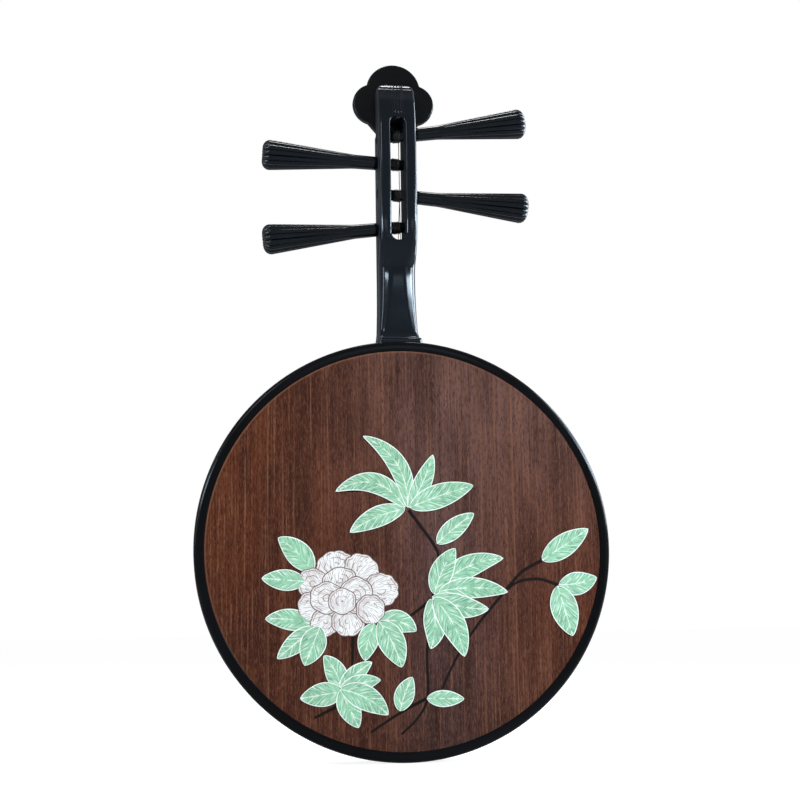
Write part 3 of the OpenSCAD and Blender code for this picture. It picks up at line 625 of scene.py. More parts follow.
class Tree:
    """A Geometry Nodes tree with named inputs that is run once on a host object."""

    def __init__(self, name: str, inputs: Sequence[tuple[str, str]]) -> None:
        """Starts the tree.

        Args:
            name: its name.
            inputs: names and socket types of its inputs after the geometry.
        """
        self.tree = bpy.data.node_groups.new(name, "GeometryNodeTree")
        face = self.tree.interface
        face.new_socket("Geometry", in_out="INPUT", socket_type="NodeSocketGeometry")
        self.ids = {}
        for label, kind in inputs:
            self.ids[label] = face.new_socket(label, in_out="INPUT", socket_type=kind).identifier
        face.new_socket("Geometry", in_out="OUTPUT", socket_type="NodeSocketGeometry")
        self.start = self.tree.nodes.new("NodeGroupInput")
        self.end = self.tree.nodes.new("NodeGroupOutput")

    def add(self, kind: str, inputs: Optional[dict] = None, **settings) -> bpy.types.Node:
        """Adds a node, with values or sockets by input name or index, and settings."""
        node = self.tree.nodes.new(kind)
        for key, value in settings.items():
            setattr(node, key, value)
        for key, value in (inputs or {}).items():
            if isinstance(value, bpy.types.NodeSocket):
                self.tree.links.new(value, node.inputs[key])
            else:
                node.inputs[key].default_value = value
        return node

    def math(self, operation: str, a, b=None):
        """Adds a Math node on one or two values and returns its result."""
        return self.add("ShaderNodeMath", {0: a} if b is None else {0: a, 1: b}, operation=operation).outputs[0]

    def input(self, label: str):
        """The socket of a named input."""
        return self.start.outputs[label]

    def close(self, geometry, material) -> None:
        """Ends the tree: real mesh, smooth faces and a material."""
        real = self.add("GeometryNodeRealizeInstances", {"Geometry": geometry}).outputs[0]
        smooth = self.add("GeometryNodeSetShadeSmooth", {"Geometry": real}).outputs[0]
        dressed = self.add("GeometryNodeSetMaterial", {"Geometry": smooth, "Material": material})
        self.tree.links.new(dressed.outputs[0], self.end.inputs[0])

    def run(self, host: bpy.types.Object, name: str, **values) -> bpy.types.Object:
        """Runs the tree on a host and keeps the result as a plain mesh.

        Args:
            host: the object that carries the input geometry; it becomes the piece.
            name: the piece's name.
            values: the named inputs, with an underscore for each space.

        Returns:
            The piece.
        """
        modifier = host.modifiers.new("make", "NODES")
        modifier.node_group = self.tree
        for label, value in values.items():
            modifier[self.ids[label.replace("_", " ")]] = value
        settle(host)
        host.name = name
        return host


def polyline(name: str, path: Points) -> bpy.types.Object:
    """A host object whose mesh is a line through points in millimetres."""
    mesh = bpy.data.meshes.new(name)
    mesh.from_pydata([tuple(c * MM for c in p) for p in path], [(i, i + 1) for i in range(len(path) - 1)], [])
    host = bpy.data.objects.new(name, mesh)
    bpy.context.scene.collection.objects.link(host)
    return host


def tube_tree() -> Tree:
    """A round tube along a line: Radius in metres, Sides and Material."""
    t = Tree("tube along a line", (("Radius", "NodeSocketFloat"), ("Sides", "NodeSocketInt"),
                                   ("Material", "NodeSocketMaterial")))
    curve = t.add("GeometryNodeMeshToCurve", {0: t.input("Geometry")}).outputs[0]
    ring = t.add("GeometryNodeCurvePrimitiveCircle", {"Resolution": t.input("Sides"), "Radius": t.input("Radius")})
    tube = t.add("GeometryNodeCurveToMesh", {"Curve": curve, "Profile Curve": ring.outputs[0], "Fill Caps": True})
    t.close(tube.outputs[0], t.input("Material"))
    return t


def rib_tree() -> Tree:
    """Ribs round a handle: the host's line with its thick attribute, repeated Count times about the x axis."""
    t = Tree("ribs round a handle", (("Count", "NodeSocketInt"), ("Sides", "NodeSocketInt"),
                                     ("Core", "NodeSocketObject"), ("Material", "NodeSocketMaterial")))
    curve = t.add("GeometryNodeMeshToCurve", {0: t.input("Geometry")}).outputs[0]
    thick = t.add("GeometryNodeInputNamedAttribute", {"Name": "thick"}, data_type="FLOAT").outputs[0]
    ring = t.add("GeometryNodeCurvePrimitiveCircle", {"Resolution": t.input("Sides"), "Radius": 1.0}).outputs[0]
    tube = t.add("GeometryNodeCurveToMesh", {"Curve": curve, "Profile Curve": ring, "Fill Caps": True})
    if "Scale" in tube.inputs:
        t.tree.links.new(thick, tube.inputs["Scale"])
    else:
        sized = t.add("GeometryNodeSetCurveRadius", {"Curve": curve, "Radius": thick}).outputs[0]
        t.tree.links.new(sized, tube.inputs["Curve"])
    points = t.add("GeometryNodePoints", {"Count": t.input("Count")}).outputs[0]
    turn = t.math("MULTIPLY", t.add("GeometryNodeInputIndex").outputs[0], t.math("DIVIDE", 2 * math.pi, t.input("Count")))
    spin = t.add("ShaderNodeCombineXYZ", {"X": turn}).outputs[0]
    ribs = t.add("GeometryNodeInstanceOnPoints", {"Points": points, "Instance": tube.outputs[0], "Rotation": spin})
    core = t.add("GeometryNodeObjectInfo", {"Object": t.input("Core")}).outputs["Geometry"]
    join = t.add("GeometryNodeJoinGeometry")
    t.tree.links.new(ribs.outputs[0], join.inputs[0])
    t.tree.links.new(core, join.inputs[0])
    t.close(join.outputs[0], t.input("Material"))
    return t


def fret_tree() -> Tree:
    """Frets down the neck: each copy of Fret stands at its semitone and reaches up towards the strings."""
    t = Tree("frets down the neck", (
        ("Count", "NodeSocketInt"), ("Nut", "NodeSocketFloat"), ("Scale length", "NodeSocketFloat"),
        ("Face", "NodeSocketFloat"), ("Nut height", "NodeSocketFloat"), ("Fall", "NodeSocketFloat"),
        ("Fret", "NodeSocketObject"), ("Material", "NodeSocketMaterial")))
    number = t.math("ADD", t.add("GeometryNodeInputIndex").outputs[0], 1.0)
    part = t.math("SUBTRACT", 1.0, t.math("POWER", 2.0, t.math("DIVIDE", number, -12.0)))
    height = t.math("SUBTRACT", t.input("Nut"), t.math("MULTIPLY", t.input("Scale length"), part))
    spot = t.add("ShaderNodeCombineXYZ", {"Y": t.input("Face"), "Z": height}).outputs[0]
    points = t.add("GeometryNodePoints", {"Count": t.input("Count"), "Position": spot}).outputs[0]
    tall = t.math("SUBTRACT", t.input("Nut height"), t.math("MULTIPLY", t.input("Fall"), part))
    size = t.add("ShaderNodeCombineXYZ", {"X": 1.0, "Y": tall, "Z": 1.0}).outputs[0]
    fret = t.add("GeometryNodeObjectInfo", {"Object": t.input("Fret")}).outputs["Geometry"]
    frets = t.add("GeometryNodeInstanceOnPoints", {"Points": points, "Instance": fret, "Scale": size})
    t.close(frets.outputs[0], t.input("Material"))
    return t


# ---------------------------------------------------------------- the instrument


@dataclass
class Body:
    """The round body: rim, back panel and soundboard. Sizes in millimetres."""

    radius: float = 180.0
    face: float = 22.0
    rim: float = 9.0
    ledge: float = 4.0
    edge: float = 4.0
    lip: float = 1.0
    recess: float = 0.8
    back: float = 4.0
    board: float = 4.5

    def section(self) -> list:
        """The rim's section as distance out of the front and radius."""
        e, r, f = self.edge, self.radius, self.face
        arc = [math.radians(a) for a in range(0, 91, 9)]
        front = [(f - e + e * math.sin(a), r - e + e * math.cos(a)) for a in arc]
        back = [(-f + e - e * math.sin(a), r - e + e * math.cos(a)) for a in arc]
        inner = r - self.rim
        lip = [math.radians(a) for a in range(0, 91, 30)]
        l = self.lip
        back_lip = [(-f + l * 0.5 * (1 - math.cos(a)), inner + l * (1 - math.sin(a))) for a in lip]
        front_lip = [(f - l * 0.5 * (1 - math.cos(a)), inner + l * (1 - math.sin(a))) for a in lip]
        floor_back = -f + self.recess + self.back
        floor_front = f - self.board
        step = [(floor_back, inner), (floor_back, inner - self.ledge), (floor_front, inner - self.ledge),
                (floor_front, inner)]
        return back + back_lip + step + front_lip[::-1] + front[::-1]

    def build_rim(self, finish: BlackLacquer) -> bpy.types.Object:
        """Turns the rim as one smooth ring that stands for its six pieces."""
        points, faces = lathe(self.section(), 360, True)
        points = [(y, x, z + self.radius) for x, y, z in points]
        rim = solid("rim_ring", points, faces, finish.material(), 30.0)
        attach(rim, "root")
        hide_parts(*(f"rim_{k}" for k in range(1, 7)))
        return rim

    def dress(self, nodes: dict) -> None:
        """Gives the two panels their wood."""
        dress(nodes, ("back_panel",), StainedBack().material())
        board = GrainedWood("paulownia", (0.66, 0.47, 0.29), (0.50, 0.32, 0.17), scale=260.0, rough=0.55)
        dress(nodes, ("soundboard",), board.material())


def dress(nodes: dict, names: Sequence[str], material: bpy.types.Material) -> None:
    """Gives carried over CAD nodes a material.

    Args:
        nodes: the frame's nodes by name.
        names: the nodes to dress.
        material: what they get.
    """
    for name in names:
        slots = nodes[name].data.materials
        slots.clear()
        slots.append(material)
        LOG.info("%s dressed with %s", name, material.name)


@dataclass(frozen=True)
class Leaf:
    """One leaf: foot and tip as x and height from the body's middle, width, and bend to the left."""

    foot: tuple[float, float]
    tip: tuple[float, float]
    width: float
    bend: float

    def midrib(self, t: float) -> np.ndarray:
        """A point of the midrib, at t from the foot to the tip."""
        foot, d = np.array(self.foot), np.subtract(self.tip, self.foot)
        sag = 4 * t * (1 - t) * self.bend
        return foot + d * t + sag * np.array((-d[1], d[0]))

    def half(self, t: float) -> float:
        """Half the leaf's width at t."""
        return self.width / 2 * max(0.0, math.sin(math.pi * t ** 0.85)) ** 0.7

    def normal(self, t: float) -> np.ndarray:
        """The direction to the left of the midrib at t."""
        d = self.midrib(min(1.0, t + 0.01)) - self.midrib(max(0.0, t - 0.01))
        d /= np.linalg.norm(d)
        return np.array((-d[1], d[0]))


TOP_LEAVES = (
    Leaf((0, 33), (-48, 13), 18, -0.06), Leaf((0, 34), (-60, 48), 18, -0.24), Leaf((2, 34), (-36, 96), 17, -0.17),
    Leaf((3, 34), (25, 80), 16, -0.04), Leaf((4, 34), (60, 53), 21, 0.02))
RIGHT_LEAVES = (
    Leaf((26, -36), (85, -10), 20, 0.1), Leaf((24, -40), (43, -1), 20, 0.05), Leaf((28, -38), (88, -39), 18, 0.06),
    Leaf((22, -42), (71, -53), 20, -0.06), Leaf((20, -44), (20, -86), 20, 0.1), Leaf((23, -43), (49, -93), 22, 0.08))
FLOWER_LEAVES = (
    Leaf((-80, -20), (-109, 9), 21, -0.06), Leaf((-86, -28), (-123, -25), 18, 0.0),
    Leaf((-80, -64), (-120, -59), 18, -0.05), Leaf((-78, -66), (-110, -92), 17, 0.0),
    Leaf((-74, -66), (-87, -98), 22, 0.0), Leaf((-24, -62), (8, -71), 19, 0.12),
    Leaf((-28, -64), (-36, -95), 18, -0.05), Leaf((-24, -62), (-5, -101), 23, 0.05))
LOW_LEAVES = (
    Leaf((-56, -120), (-71, -90), 18, -0.08), Leaf((-57, -120), (-30, -96), 15, 0.06),
    Leaf((-57.5, -119.5), (-23, -111), 15, 0.05), Leaf((-54.5, -119.5), (-91, -125), 20, 0.0),
    Leaf((-57, -118.5), (-42, -150), 19, 0.0), Leaf((-57, -118), (-17, -140), 21, 0.08))
FAR_LEAVES = (
    Leaf((119, -12), (161, 15), 20, 0.0), Leaf((133, -33), (167, -27), 20, -0.06),
    Leaf((132, -34), (144, -77), 24, 0.0))
SMALL_LEAVES = (
    Leaf((27, 3), (60, 29), 17, 0.02), Leaf((-7, -137), (4, -109), 17, 0.04), Leaf((16, -127), (48, -128), 14, 0.0))


@dataclass(frozen=True)
class Petal:
    """One petal: centre, half length, half width, turn in degrees and number of waves."""

    x: float
    z: float
    long: float
    short: float
    turn: float
    waves: int

    def reach(self, a: float) -> float:
        """How far the petal's edge stands out at an angle, as a share of its size."""
        return 1 + 0.07 * (abs(math.sin(self.waves * a / 2)) - 1)

    def point(self, a: float, share: float) -> np.ndarray:
        """A point at an angle, at a share of the way from the centre to the edge."""
        u = np.array((self.long * math.cos(a), self.short * math.sin(a))) * self.reach(a) * share
        c, s = math.cos(math.radians(self.turn)), math.sin(math.radians(self.turn))
        return np.array((self.x + u[0] * c - u[1] * s, self.z + u[0] * s + u[1] * c))


PETALS = (
    Petal(-53, -41, 26, 22, 0, 12), Petal(-61, -15, 17, 13, 15, 9), Petal(-38, -19, 16.5, 14, -35, 9),
    Petal(-80, -30, 13.5, 14, 60, 8), Petal(-22, -36, 16, 15, 0, 10), Petal(-82, -49, 11, 13, 10, 8),
    Petal(-69, -62, 14, 12.5, 30, 8), Petal(-50, -62, 15, 13, 0, 8), Petal(-57, -28, 15.5, 12, 10, 6),
    Petal(-43, -40, 15, 16, 0, 6), Petal(-31, -52, 13, 13, 0, 8), Petal(-68, -42, 15, 14, 0, 6),
    Petal(-55, -45, 12.5, 11.5, 0, 6))

STEMS = (
    ((3, 32), (24, 3), (28, -11), (23, -41), (17, -87), (17, -125), (8, -143), (-6, -156)),
    ((119, -12), (102, -21), (90, -33), (76, -49), (59, -69), (42, -94), (29, -120)),
    ((132, -33), (116, -28), (98, -30), (88, -37)),
    ((17, -48), (3, -58)),
    ((16, -127), (-6, -138), (-32, -154)),
    ((-46, -72), (-47, -102)),
    ((-60, -132), (-79, -141)))


@dataclass
class Inlay:
    """The peony spray on the back: leaves, petals and stems laid on the panel."""

    panel: float = -21.2
    face: float = -22.0
    middle: float = 180.0
    rise: float = 0.06
    # how far the dark skirt leans out round each leaf: filler, and a painted shadow of the raised leaf
    skirt: float = 0.5
    along: int = 36
    across: int = 12
    leaf_groups: tuple = (TOP_LEAVES, RIGHT_LEAVES, FLOWER_LEAVES, LOW_LEAVES, FAR_LEAVES, SMALL_LEAVES)
    stem_width: float = 3.0
    stem_taper: float = 0.65

    def build(self) -> None:
        """Builds the three kinds of inlay and hides the CAD nodes they stand for."""
        mastic_and_shadow = MasticAndShadow().material()
        leaves = self.join("leaf_spray", [self.leaf(leaf, self.face + self.rise * (len(group) - 1 - k))
                                          for group in self.leaf_groups for k, leaf in enumerate(group)],
                           (LeafPaint().material(), mastic_and_shadow))
        flower = self.join("peony_flower", [self.petal(p, self.face + 0.04 * (len(PETALS) - 1 - k))
                                            for k, p in enumerate(PETALS)], (PetalPaint().material(), mastic_and_shadow))
        stems = self.join("stem_lines", [self.stem(path) for path in STEMS], (mastic_and_shadow,))
        for piece, node, finish in ((leaves, "leaf_inlay", Finish.GREEN), (flower, "flower_inlay", Finish.PALE),
                                    (stems, "stem_inlay", Finish.STEM)):
            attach(piece, "root")
            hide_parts(node)
            LOG.info("%s laid", piece.name)

    def join(self, name: str, parts: list, materials: Sequence[bpy.types.Material]) -> bpy.types.Object:
        """Puts several small solids into one mesh with their UV map and attributes."""
        points, faces, marks, uvs, edges, ribs = [], [], [], [], [], []
        for part in parts:
            start = len(points)
            points += part["points"]
            faces += [tuple(start + i for i in f) for f in part["faces"]]
            marks += part["marks"]
            uvs += part["uv"]
            edges += part["edge"]
            ribs += part["rib"]
        mesh = bpy.data.meshes.new(name)
        mesh.from_pydata([tuple(c * MM for c in p) for p in points], [], faces)
        for m in materials:
            mesh.materials.append(m)
        mesh.polygons.foreach_set("material_index", marks)
        layer = mesh.uv_layers.new(name="UVMap")
        for loop in mesh.loops:
            layer.data[loop.index].uv = uvs[loop.vertex_index]
        for label, values in (("edge", edges), ("rib", ribs)):
            mesh.attributes.new(label, "FLOAT", "POINT").data.foreach_set("value", values)
        piece = bpy.data.objects.new(name, mesh)
        bpy.context.scene.collection.objects.link(piece)
        outward(piece)
        shade(piece, 50.0)
        return piece

    def leaf(self, leaf: Leaf, top: float) -> dict:
        """One leaf as a thin solid: a painted top, and a dark skirt down to the panel, which is filler and also a
        painted shadow round the leaf.
        """
        rows = [k / self.along for k in range(self.along + 1)]
        points, uv, edge, rib = [], [], [], []
        for t in rows:
            half, normal, centre = leaf.half(t), leaf.normal(t), leaf.midrib(t)
            run = t * math.hypot(leaf.tip[0] - leaf.foot[0], leaf.tip[1] - leaf.foot[1])
            for k in range(self.across + 1):
                v = 2 * k / self.across - 1
                v = math.copysign(abs(v) ** 0.8, v)
                x, z = centre + normal * half * v
                points.append((x, top + 0.05 * abs(v) ** 6, z + self.middle))
                uv.append((run / 10, v * half / 10))
                edge.append((1 - abs(v)) * half)
                rib.append(abs(v) * half)
        n = self.across + 1
        faces = [(r * n + i, (r + 1) * n + i, (r + 1) * n + i + 1, r * n + i + 1)
                 for r in range(self.along) for i in range(self.across)]
        marks = [0] * len(faces)
        loop = ([r * n for r in range(self.along + 1)] + [self.along * n + i for i in range(1, n)]
                + [r * n + n - 1 for r in range(self.along - 1, -1, -1)] + list(range(n - 2, 0, -1)))
        return self.skirted(points, faces, marks, uv, edge, rib, loop, self.skirt)

    def petal(self, petal: Petal, top: float) -> dict:
        """One petal as a thin solid, with its fan of lines measured from the flower's heart."""
        heart = np.array((-55.0, -42.0))
        steps, rings = 96, 9
        toward = heart - np.array((petal.x, petal.z))
        reach = np.linalg.norm(toward)
        base = np.array((petal.x, petal.z)) + (toward / reach * petal.short * 1.1 if reach > 3 else (0.0, -petal.short))
        points, uv, edge = [], [], []
        for r in range(rings + 1):
            share = (r / rings) ** 0.75
            for k in range(steps):
                a = 2 * math.pi * k / steps
                x, z = petal.point(a, share)
                d = np.array((x, z)) - base
                out = np.array((petal.x, petal.z)) - base
                fan = math.atan2(out[0] * d[1] - out[1] * d[0], float(d @ out))
                points.append((x, top + 0.03 * share ** 8, z + self.middle))
                uv.append((fan * petal.short * 1.6 / 10, float(np.linalg.norm(d)) / 10))
                edge.append((1 - share) * (petal.long + petal.short) / 2)
        faces = [(r * steps + k, r * steps + (k + 1) % steps, (r + 1) * steps + (k + 1) % steps, (r + 1) * steps + k)
                 for r in range(1, rings) for k in range(steps)]
        faces += [(k, (k + 1) % steps + steps, k + steps) for k in range(steps)]
        points[0:steps] = [points[0]] * steps
        loop = [rings * steps + k for k in range(steps)]
        return self.skirted(points, faces, [0] * len(faces), uv, edge, [5.0] * len(edge), loop, 0.2)

    def skirted(self, points: list, faces: list, marks: list, uv: list, edge: list, rib: list, loop: list,
                lean: float) -> dict:
        """Closes a painted top with a dark skirt that leans out to the panel, and a bottom; the skirt is dark filler
        and also a painted shadow round the piece.
        """
        centre = np.mean([points[i] for i in loop], axis=0)
        start, n = len(points), len(loop)
        ring = np.array([points[i] for i in loop])
        ahead = np.roll(ring, -1, axis=0) - np.roll(ring, 1, axis=0)
        side = np.stack([ahead[:, 2], np.zeros(n), -ahead[:, 0]], 1)
        length = np.linalg.norm(side, axis=1)
        side = side / np.maximum(length, 1e-6)[:, None]
        area = float(np.sum(ring[:, 0] * np.roll(ring[:, 2], -1) - ring[:, 2] * np.roll(ring[:, 0], -1)))
        side *= 1.0 if area > 0 else -1.0
        for p, s in zip(ring, side):
            points.append((p[0] + s[0] * lean, self.panel, p[2] + s[2] * lean))
            uv.append((0.0, 0.0))
            edge.append(0.0)
            rib.append(5.0)
        for k in range(n):
            j = (k + 1) % n
            faces.append((loop[k], loop[j], start + j, start + k))
            marks.append(1)
        points.append((centre[0], self.panel, centre[2]))
        uv.append((0.0, 0.0))
        edge.append(0.0)
        rib.append(5.0)
        hub = len(points) - 1
        for k in range(n):
            faces.append((start + k, start + (k + 1) % n, hub))
            marks.append(1)
        return {"points": points, "faces": faces, "marks": marks, "uv": uv, "edge": edge, "rib": rib}

    def stem(self, route: Points) -> dict:
        """One stem as a low rounded strip that narrows towards its end."""
        path = np.array(smooth_path(route, 6))
        rings = []
        low, high = self.panel, self.panel - 0.25
        for k, p in enumerate(path):
            d = path[min(len(path) - 1, k + 1)] - path[max(0, k - 1)]
            d /= np.linalg.norm(d)
            side = np.array((-d[1], d[0]))
            half = self.stem_width / 2 * (1 - (1 - self.stem_taper) * k / (len(path) - 1))
            ring = []
            bevel = (low + high) / 2
            for share, y in ((-1, low), (-0.85, bevel), (-0.5, high), (0.5, high), (0.85, bevel), (1, low)):
                q = p + side * half * share
                ring.append((q[0], y, q[1] + self.middle))
            rings.append(ring)
        points, faces = loft(rings)
        zeros = [0.0] * len(points)
        return {"points": points, "faces": faces, "marks": [0] * len(faces), "uv": [(0.0, 0.0)] * len(points),
                "edge": zeros, "rib": zeros}


@dataclass
class Neck:
    """The lacquered neck with its heel, open pegbox and head, and the cloud shaped plate on it."""

    face: float = 22.0
    body: float = 180.0
    nut: float = 446.0
    head: float = 604.0
    half: float = 17.0
    half_heel: float = 19.5
    back: float = 0.0
    box_back: float = -13.0
    heel_back: float = -12.0
    heel_height: float = 5.0
    length: float = 86.0
    slot: float = 13.5
    slot_low: float = 455.0
    slot_length: float = 115.0
    plate: float = 8.0
    plate_foot: float = 558.0
    slot_round: float = 1.5
    glue: float = 0.1

    def stations(self) -> list:
        """Height, half width, back face and back corner radius, from the heel to the head."""
        top = 2 * self.body
        s0, s1 = self.slot_low, self.slot_low + self.slot_length
        return [
            (top - 9, self.half_heel, self.heel_back, 3), (top + self.heel_height * 0.4, self.half_heel, self.heel_back, 3),
            (top + self.heel_height, self.half_heel - 0.6, self.heel_back + 1, 3),
            (top + self.heel_height + 2.5, (self.half_heel + self.half) / 2 + 0.2, self.back - 3, 4),
            (top + self.heel_height + 8, self.half + 0.8, self.back - 0.5, 6),
            (top + self.length * 0.4, self.half + 0.2, self.back, 10), (top + self.length * 0.66, self.half, self.back, 12.5),
            (self.nut - 14, self.half, self.back - 1.5, 13), (self.nut - 2, self.half, self.back - 6, 8),
            (s0 + 1, self.half, self.box_back + 3, 5), (s0 + 18, self.half, self.box_back + 1, 3.6),
            (s0 + self.slot_length * 0.56, self.half, self.box_back, 3), (s1 - 8, self.half, self.box_back + 2, 3),
            (self.head - 17, self.half, self.box_back + 7, 3), (self.head - 6, self.half, self.box_back + 12, 3),
            (self.head - 3, self.half - 0.9, self.box_back + 13.7, 3), (self.head - 1.2, self.half - 2.4, self.box_back + 15.5, 3),
            (self.head, self.half - 5, self.box_back + 17.5, 3)]

    def rows(self, steps: int = 8) -> list:
        """The stations with smooth rows between them."""
        fixed = self.stations()
        last = len(fixed) - 1
        rows = []
        for k in range(last):
            quad = [fixed[min(max(k + o, 0), last)] for o in (-1, 0, 1, 2)]
            for s in range(steps):
                t = s / steps
                row = [quad[1][0] * (1 - t) + quad[2][0] * t]
                row += [catmull(*(q[j] for q in quad), t) for j in (1, 2, 3)]
                rows.append(row)
        rows.append(list(fixed[last]))
        return rows

    def ring(self, row: Sequence[float]) -> list:
        """One closed ring of the neck's skin."""
        z, half, back, corner = row
        e = 1.5
        side = [(half - e + e * math.sin(a), self.face - e + e * math.cos(a)) for a in np.radians(np.arange(0, 91, 22.5))]
        side += [(half - corner + corner * math.cos(a), back + corner - corner * math.sin(a))
                 for a in np.radians(np.arange(0, 91, 7.5))]
        return [(-x, y, z) for x, y in side] + [(x, y, z) for x, y in reversed(side)]

    def back_at(self, z: float) -> float:
        """The back face of the neck at a height."""
        rows = self.rows()
        return float(np.interp(z, [r[0] for r in rows], [r[2] for r in rows]))

    def slot_cutter(self, material: bpy.types.Material) -> bpy.types.Object:
        """The string slot as a solid whose mouth flares along the curved back."""
        r, z0, z1 = self.slot / 2, self.slot_low, self.slot_low + self.slot_length
        outline = [(r * math.cos(a), z0 + r - r * math.sin(a), math.cos(a), -math.sin(a)) for a in np.linspace(0, math.pi, 21)]
        outline += [(-r, z, -1.0, 0.0) for z in np.linspace(z0 + r, z1 - r, 40)[1:-1]]
        outline += [(r * math.cos(a), z1 - r - r * math.sin(a), math.cos(a), -math.sin(a)) for a in np.linspace(math.pi, 2 * math.pi, 21)]
        outline += [(r, z, 1.0, 0.0) for z in np.linspace(z1 - r, z0 + r, 40)[1:-1]]
        b = self.slot_round
        rings = [[(x + nx * b * 1.6, self.box_back - 4, z + nz * b * 1.6) for x, z, nx, nz in outline]]
        steps = [(b * 1.3, b * -0.2)]
        steps += [(b * (1 - math.sin(a)), b * (1 - math.cos(a))) for a in np.radians((15, 30, 45, 60, 75, 90))]
        for grow, deep in steps:
            rings.append([(x + nx * grow, self.back_at(z) + deep, z + nz * grow) for x, z, nx, nz in outline])
        rings.append([(x, self.face + 6, z) for x, z, _, _ in outline])
        points, faces = loft(rings)
        return solid("slot_cutter", points, faces, material)

    def build(self, pegs: "Pegs", finish: bpy.types.Material) -> None:
        """Lofts the neck and cuts its slot, peg holes, heel seat and plate seat."""
        points, faces = loft([self.ring(row) for row in self.rows()])
        neck = solid("neck_and_pegbox", points, faces, finish)
        seat, skin = lathe([(-60.0, 0.0), (-60.0, self.body + self.glue), (60.0, self.body + self.glue), (60.0, 0.0)], 720, False)
        seat = [(y, x, z + self.body) for x, y, z in seat]
        cutters = [welded(solid("heel_seat", seat, skin, finish)), self.slot_cutter(finish)]
        low, high, wide = self.plate_foot - self.glue, self.head + 20, 40.0
        corners = [(x, y, z) for z in (low, high) for y in (self.face - self.plate, self.face + 10) for x in (-wide, wide)]
        cutters.append(solid("plate_seat", corners, BOX_FACES, finish))
        cutters += [pegs.hole(i, finish) for i in range(4)]
        carve(neck, cutters)
        welded(neck, 2e-6)
        shade(neck, 34.0)
        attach(neck, "root")
        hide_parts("neck")
        LOG.info("neck cut, %d faces", len(neck.data.polygons))

    def build_plate(self, finish: bpy.types.Material) -> None:
        """Builds the cloud shaped plate with rounded edges."""
        dome, lobe, lobe_x = 25.0, 19.0, 18.5
        dome_z = self.head + 24 - dome
        lobe_z = dome_z - 13
        foot = lobe_z - 32
        tail = [(-(self.half - 5), foot), (self.half - 5, foot), (self.half + 2, foot + 8),
                (lobe_x + lobe * 0.5, lobe_z - lobe * 0.7), (lobe_x + lobe * 0.5, lobe_z),
                (-(lobe_x + lobe * 0.5), lobe_z), (-(lobe_x + lobe * 0.5), lobe_z - lobe * 0.7), (-(self.half + 2), foot + 8)]

        def inside(x: float, z: float) -> bool:
            """Whether a point lies in the plate's outline."""
            if math.hypot(x, z - dome_z) < dome or math.hypot(abs(x) - lobe_x, z - lobe_z) < lobe:
                return True
            hit = False
            for (x0, z0), (x1, z1) in zip(tail, tail[1:] + tail[:1]):
                if (z0 > z) != (z1 > z) and x < x0 + (z - z0) * (x1 - x0) / (z1 - z0):
                    hit = not hit
            return hit

        outline = []
        for k in range(240):
            a = 2 * math.pi * k / 240
            r0, r1 = 0.0, 60.0
            for _ in range(30):
                mid = (r0 + r1) / 2
                r0, r1 = (mid, r1) if inside(mid * math.cos(a), lobe_z - 2 + mid * math.sin(a)) else (r0, mid)
            outline.append(r0)
        rings = []
        edge = 1.8
        front = [(self.face - edge * (1 - math.sin(a)), edge * (1 - math.cos(a))) for a in np.radians((90, 67.5, 45, 22.5, 0))]
        back = [(self.face - self.plate + edge * (1 - math.sin(a)), edge * (1 - math.cos(a))) for a in np.radians((0, 22.5, 45, 67.5, 90))]
        for y, inset in front + back:
            ring = []
            for k, r in enumerate(outline):
                a = 2 * math.pi * k / 240
                ring.append(((r - inset) * math.cos(a), y, lobe_z - 2 + (r - inset) * math.sin(a)))
            rings.append(ring)
        points, faces = loft(rings)
        plate = solid("cloud_plate", points, faces, finish, 40.0)
        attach(plate, "root")
        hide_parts("head_plate")


BOX_FACES = ((0, 1, 3, 2), (4, 6, 7, 5), (0, 4, 5, 1), (2, 3, 7, 6), (0, 2, 6, 4), (1, 5, 7, 3))


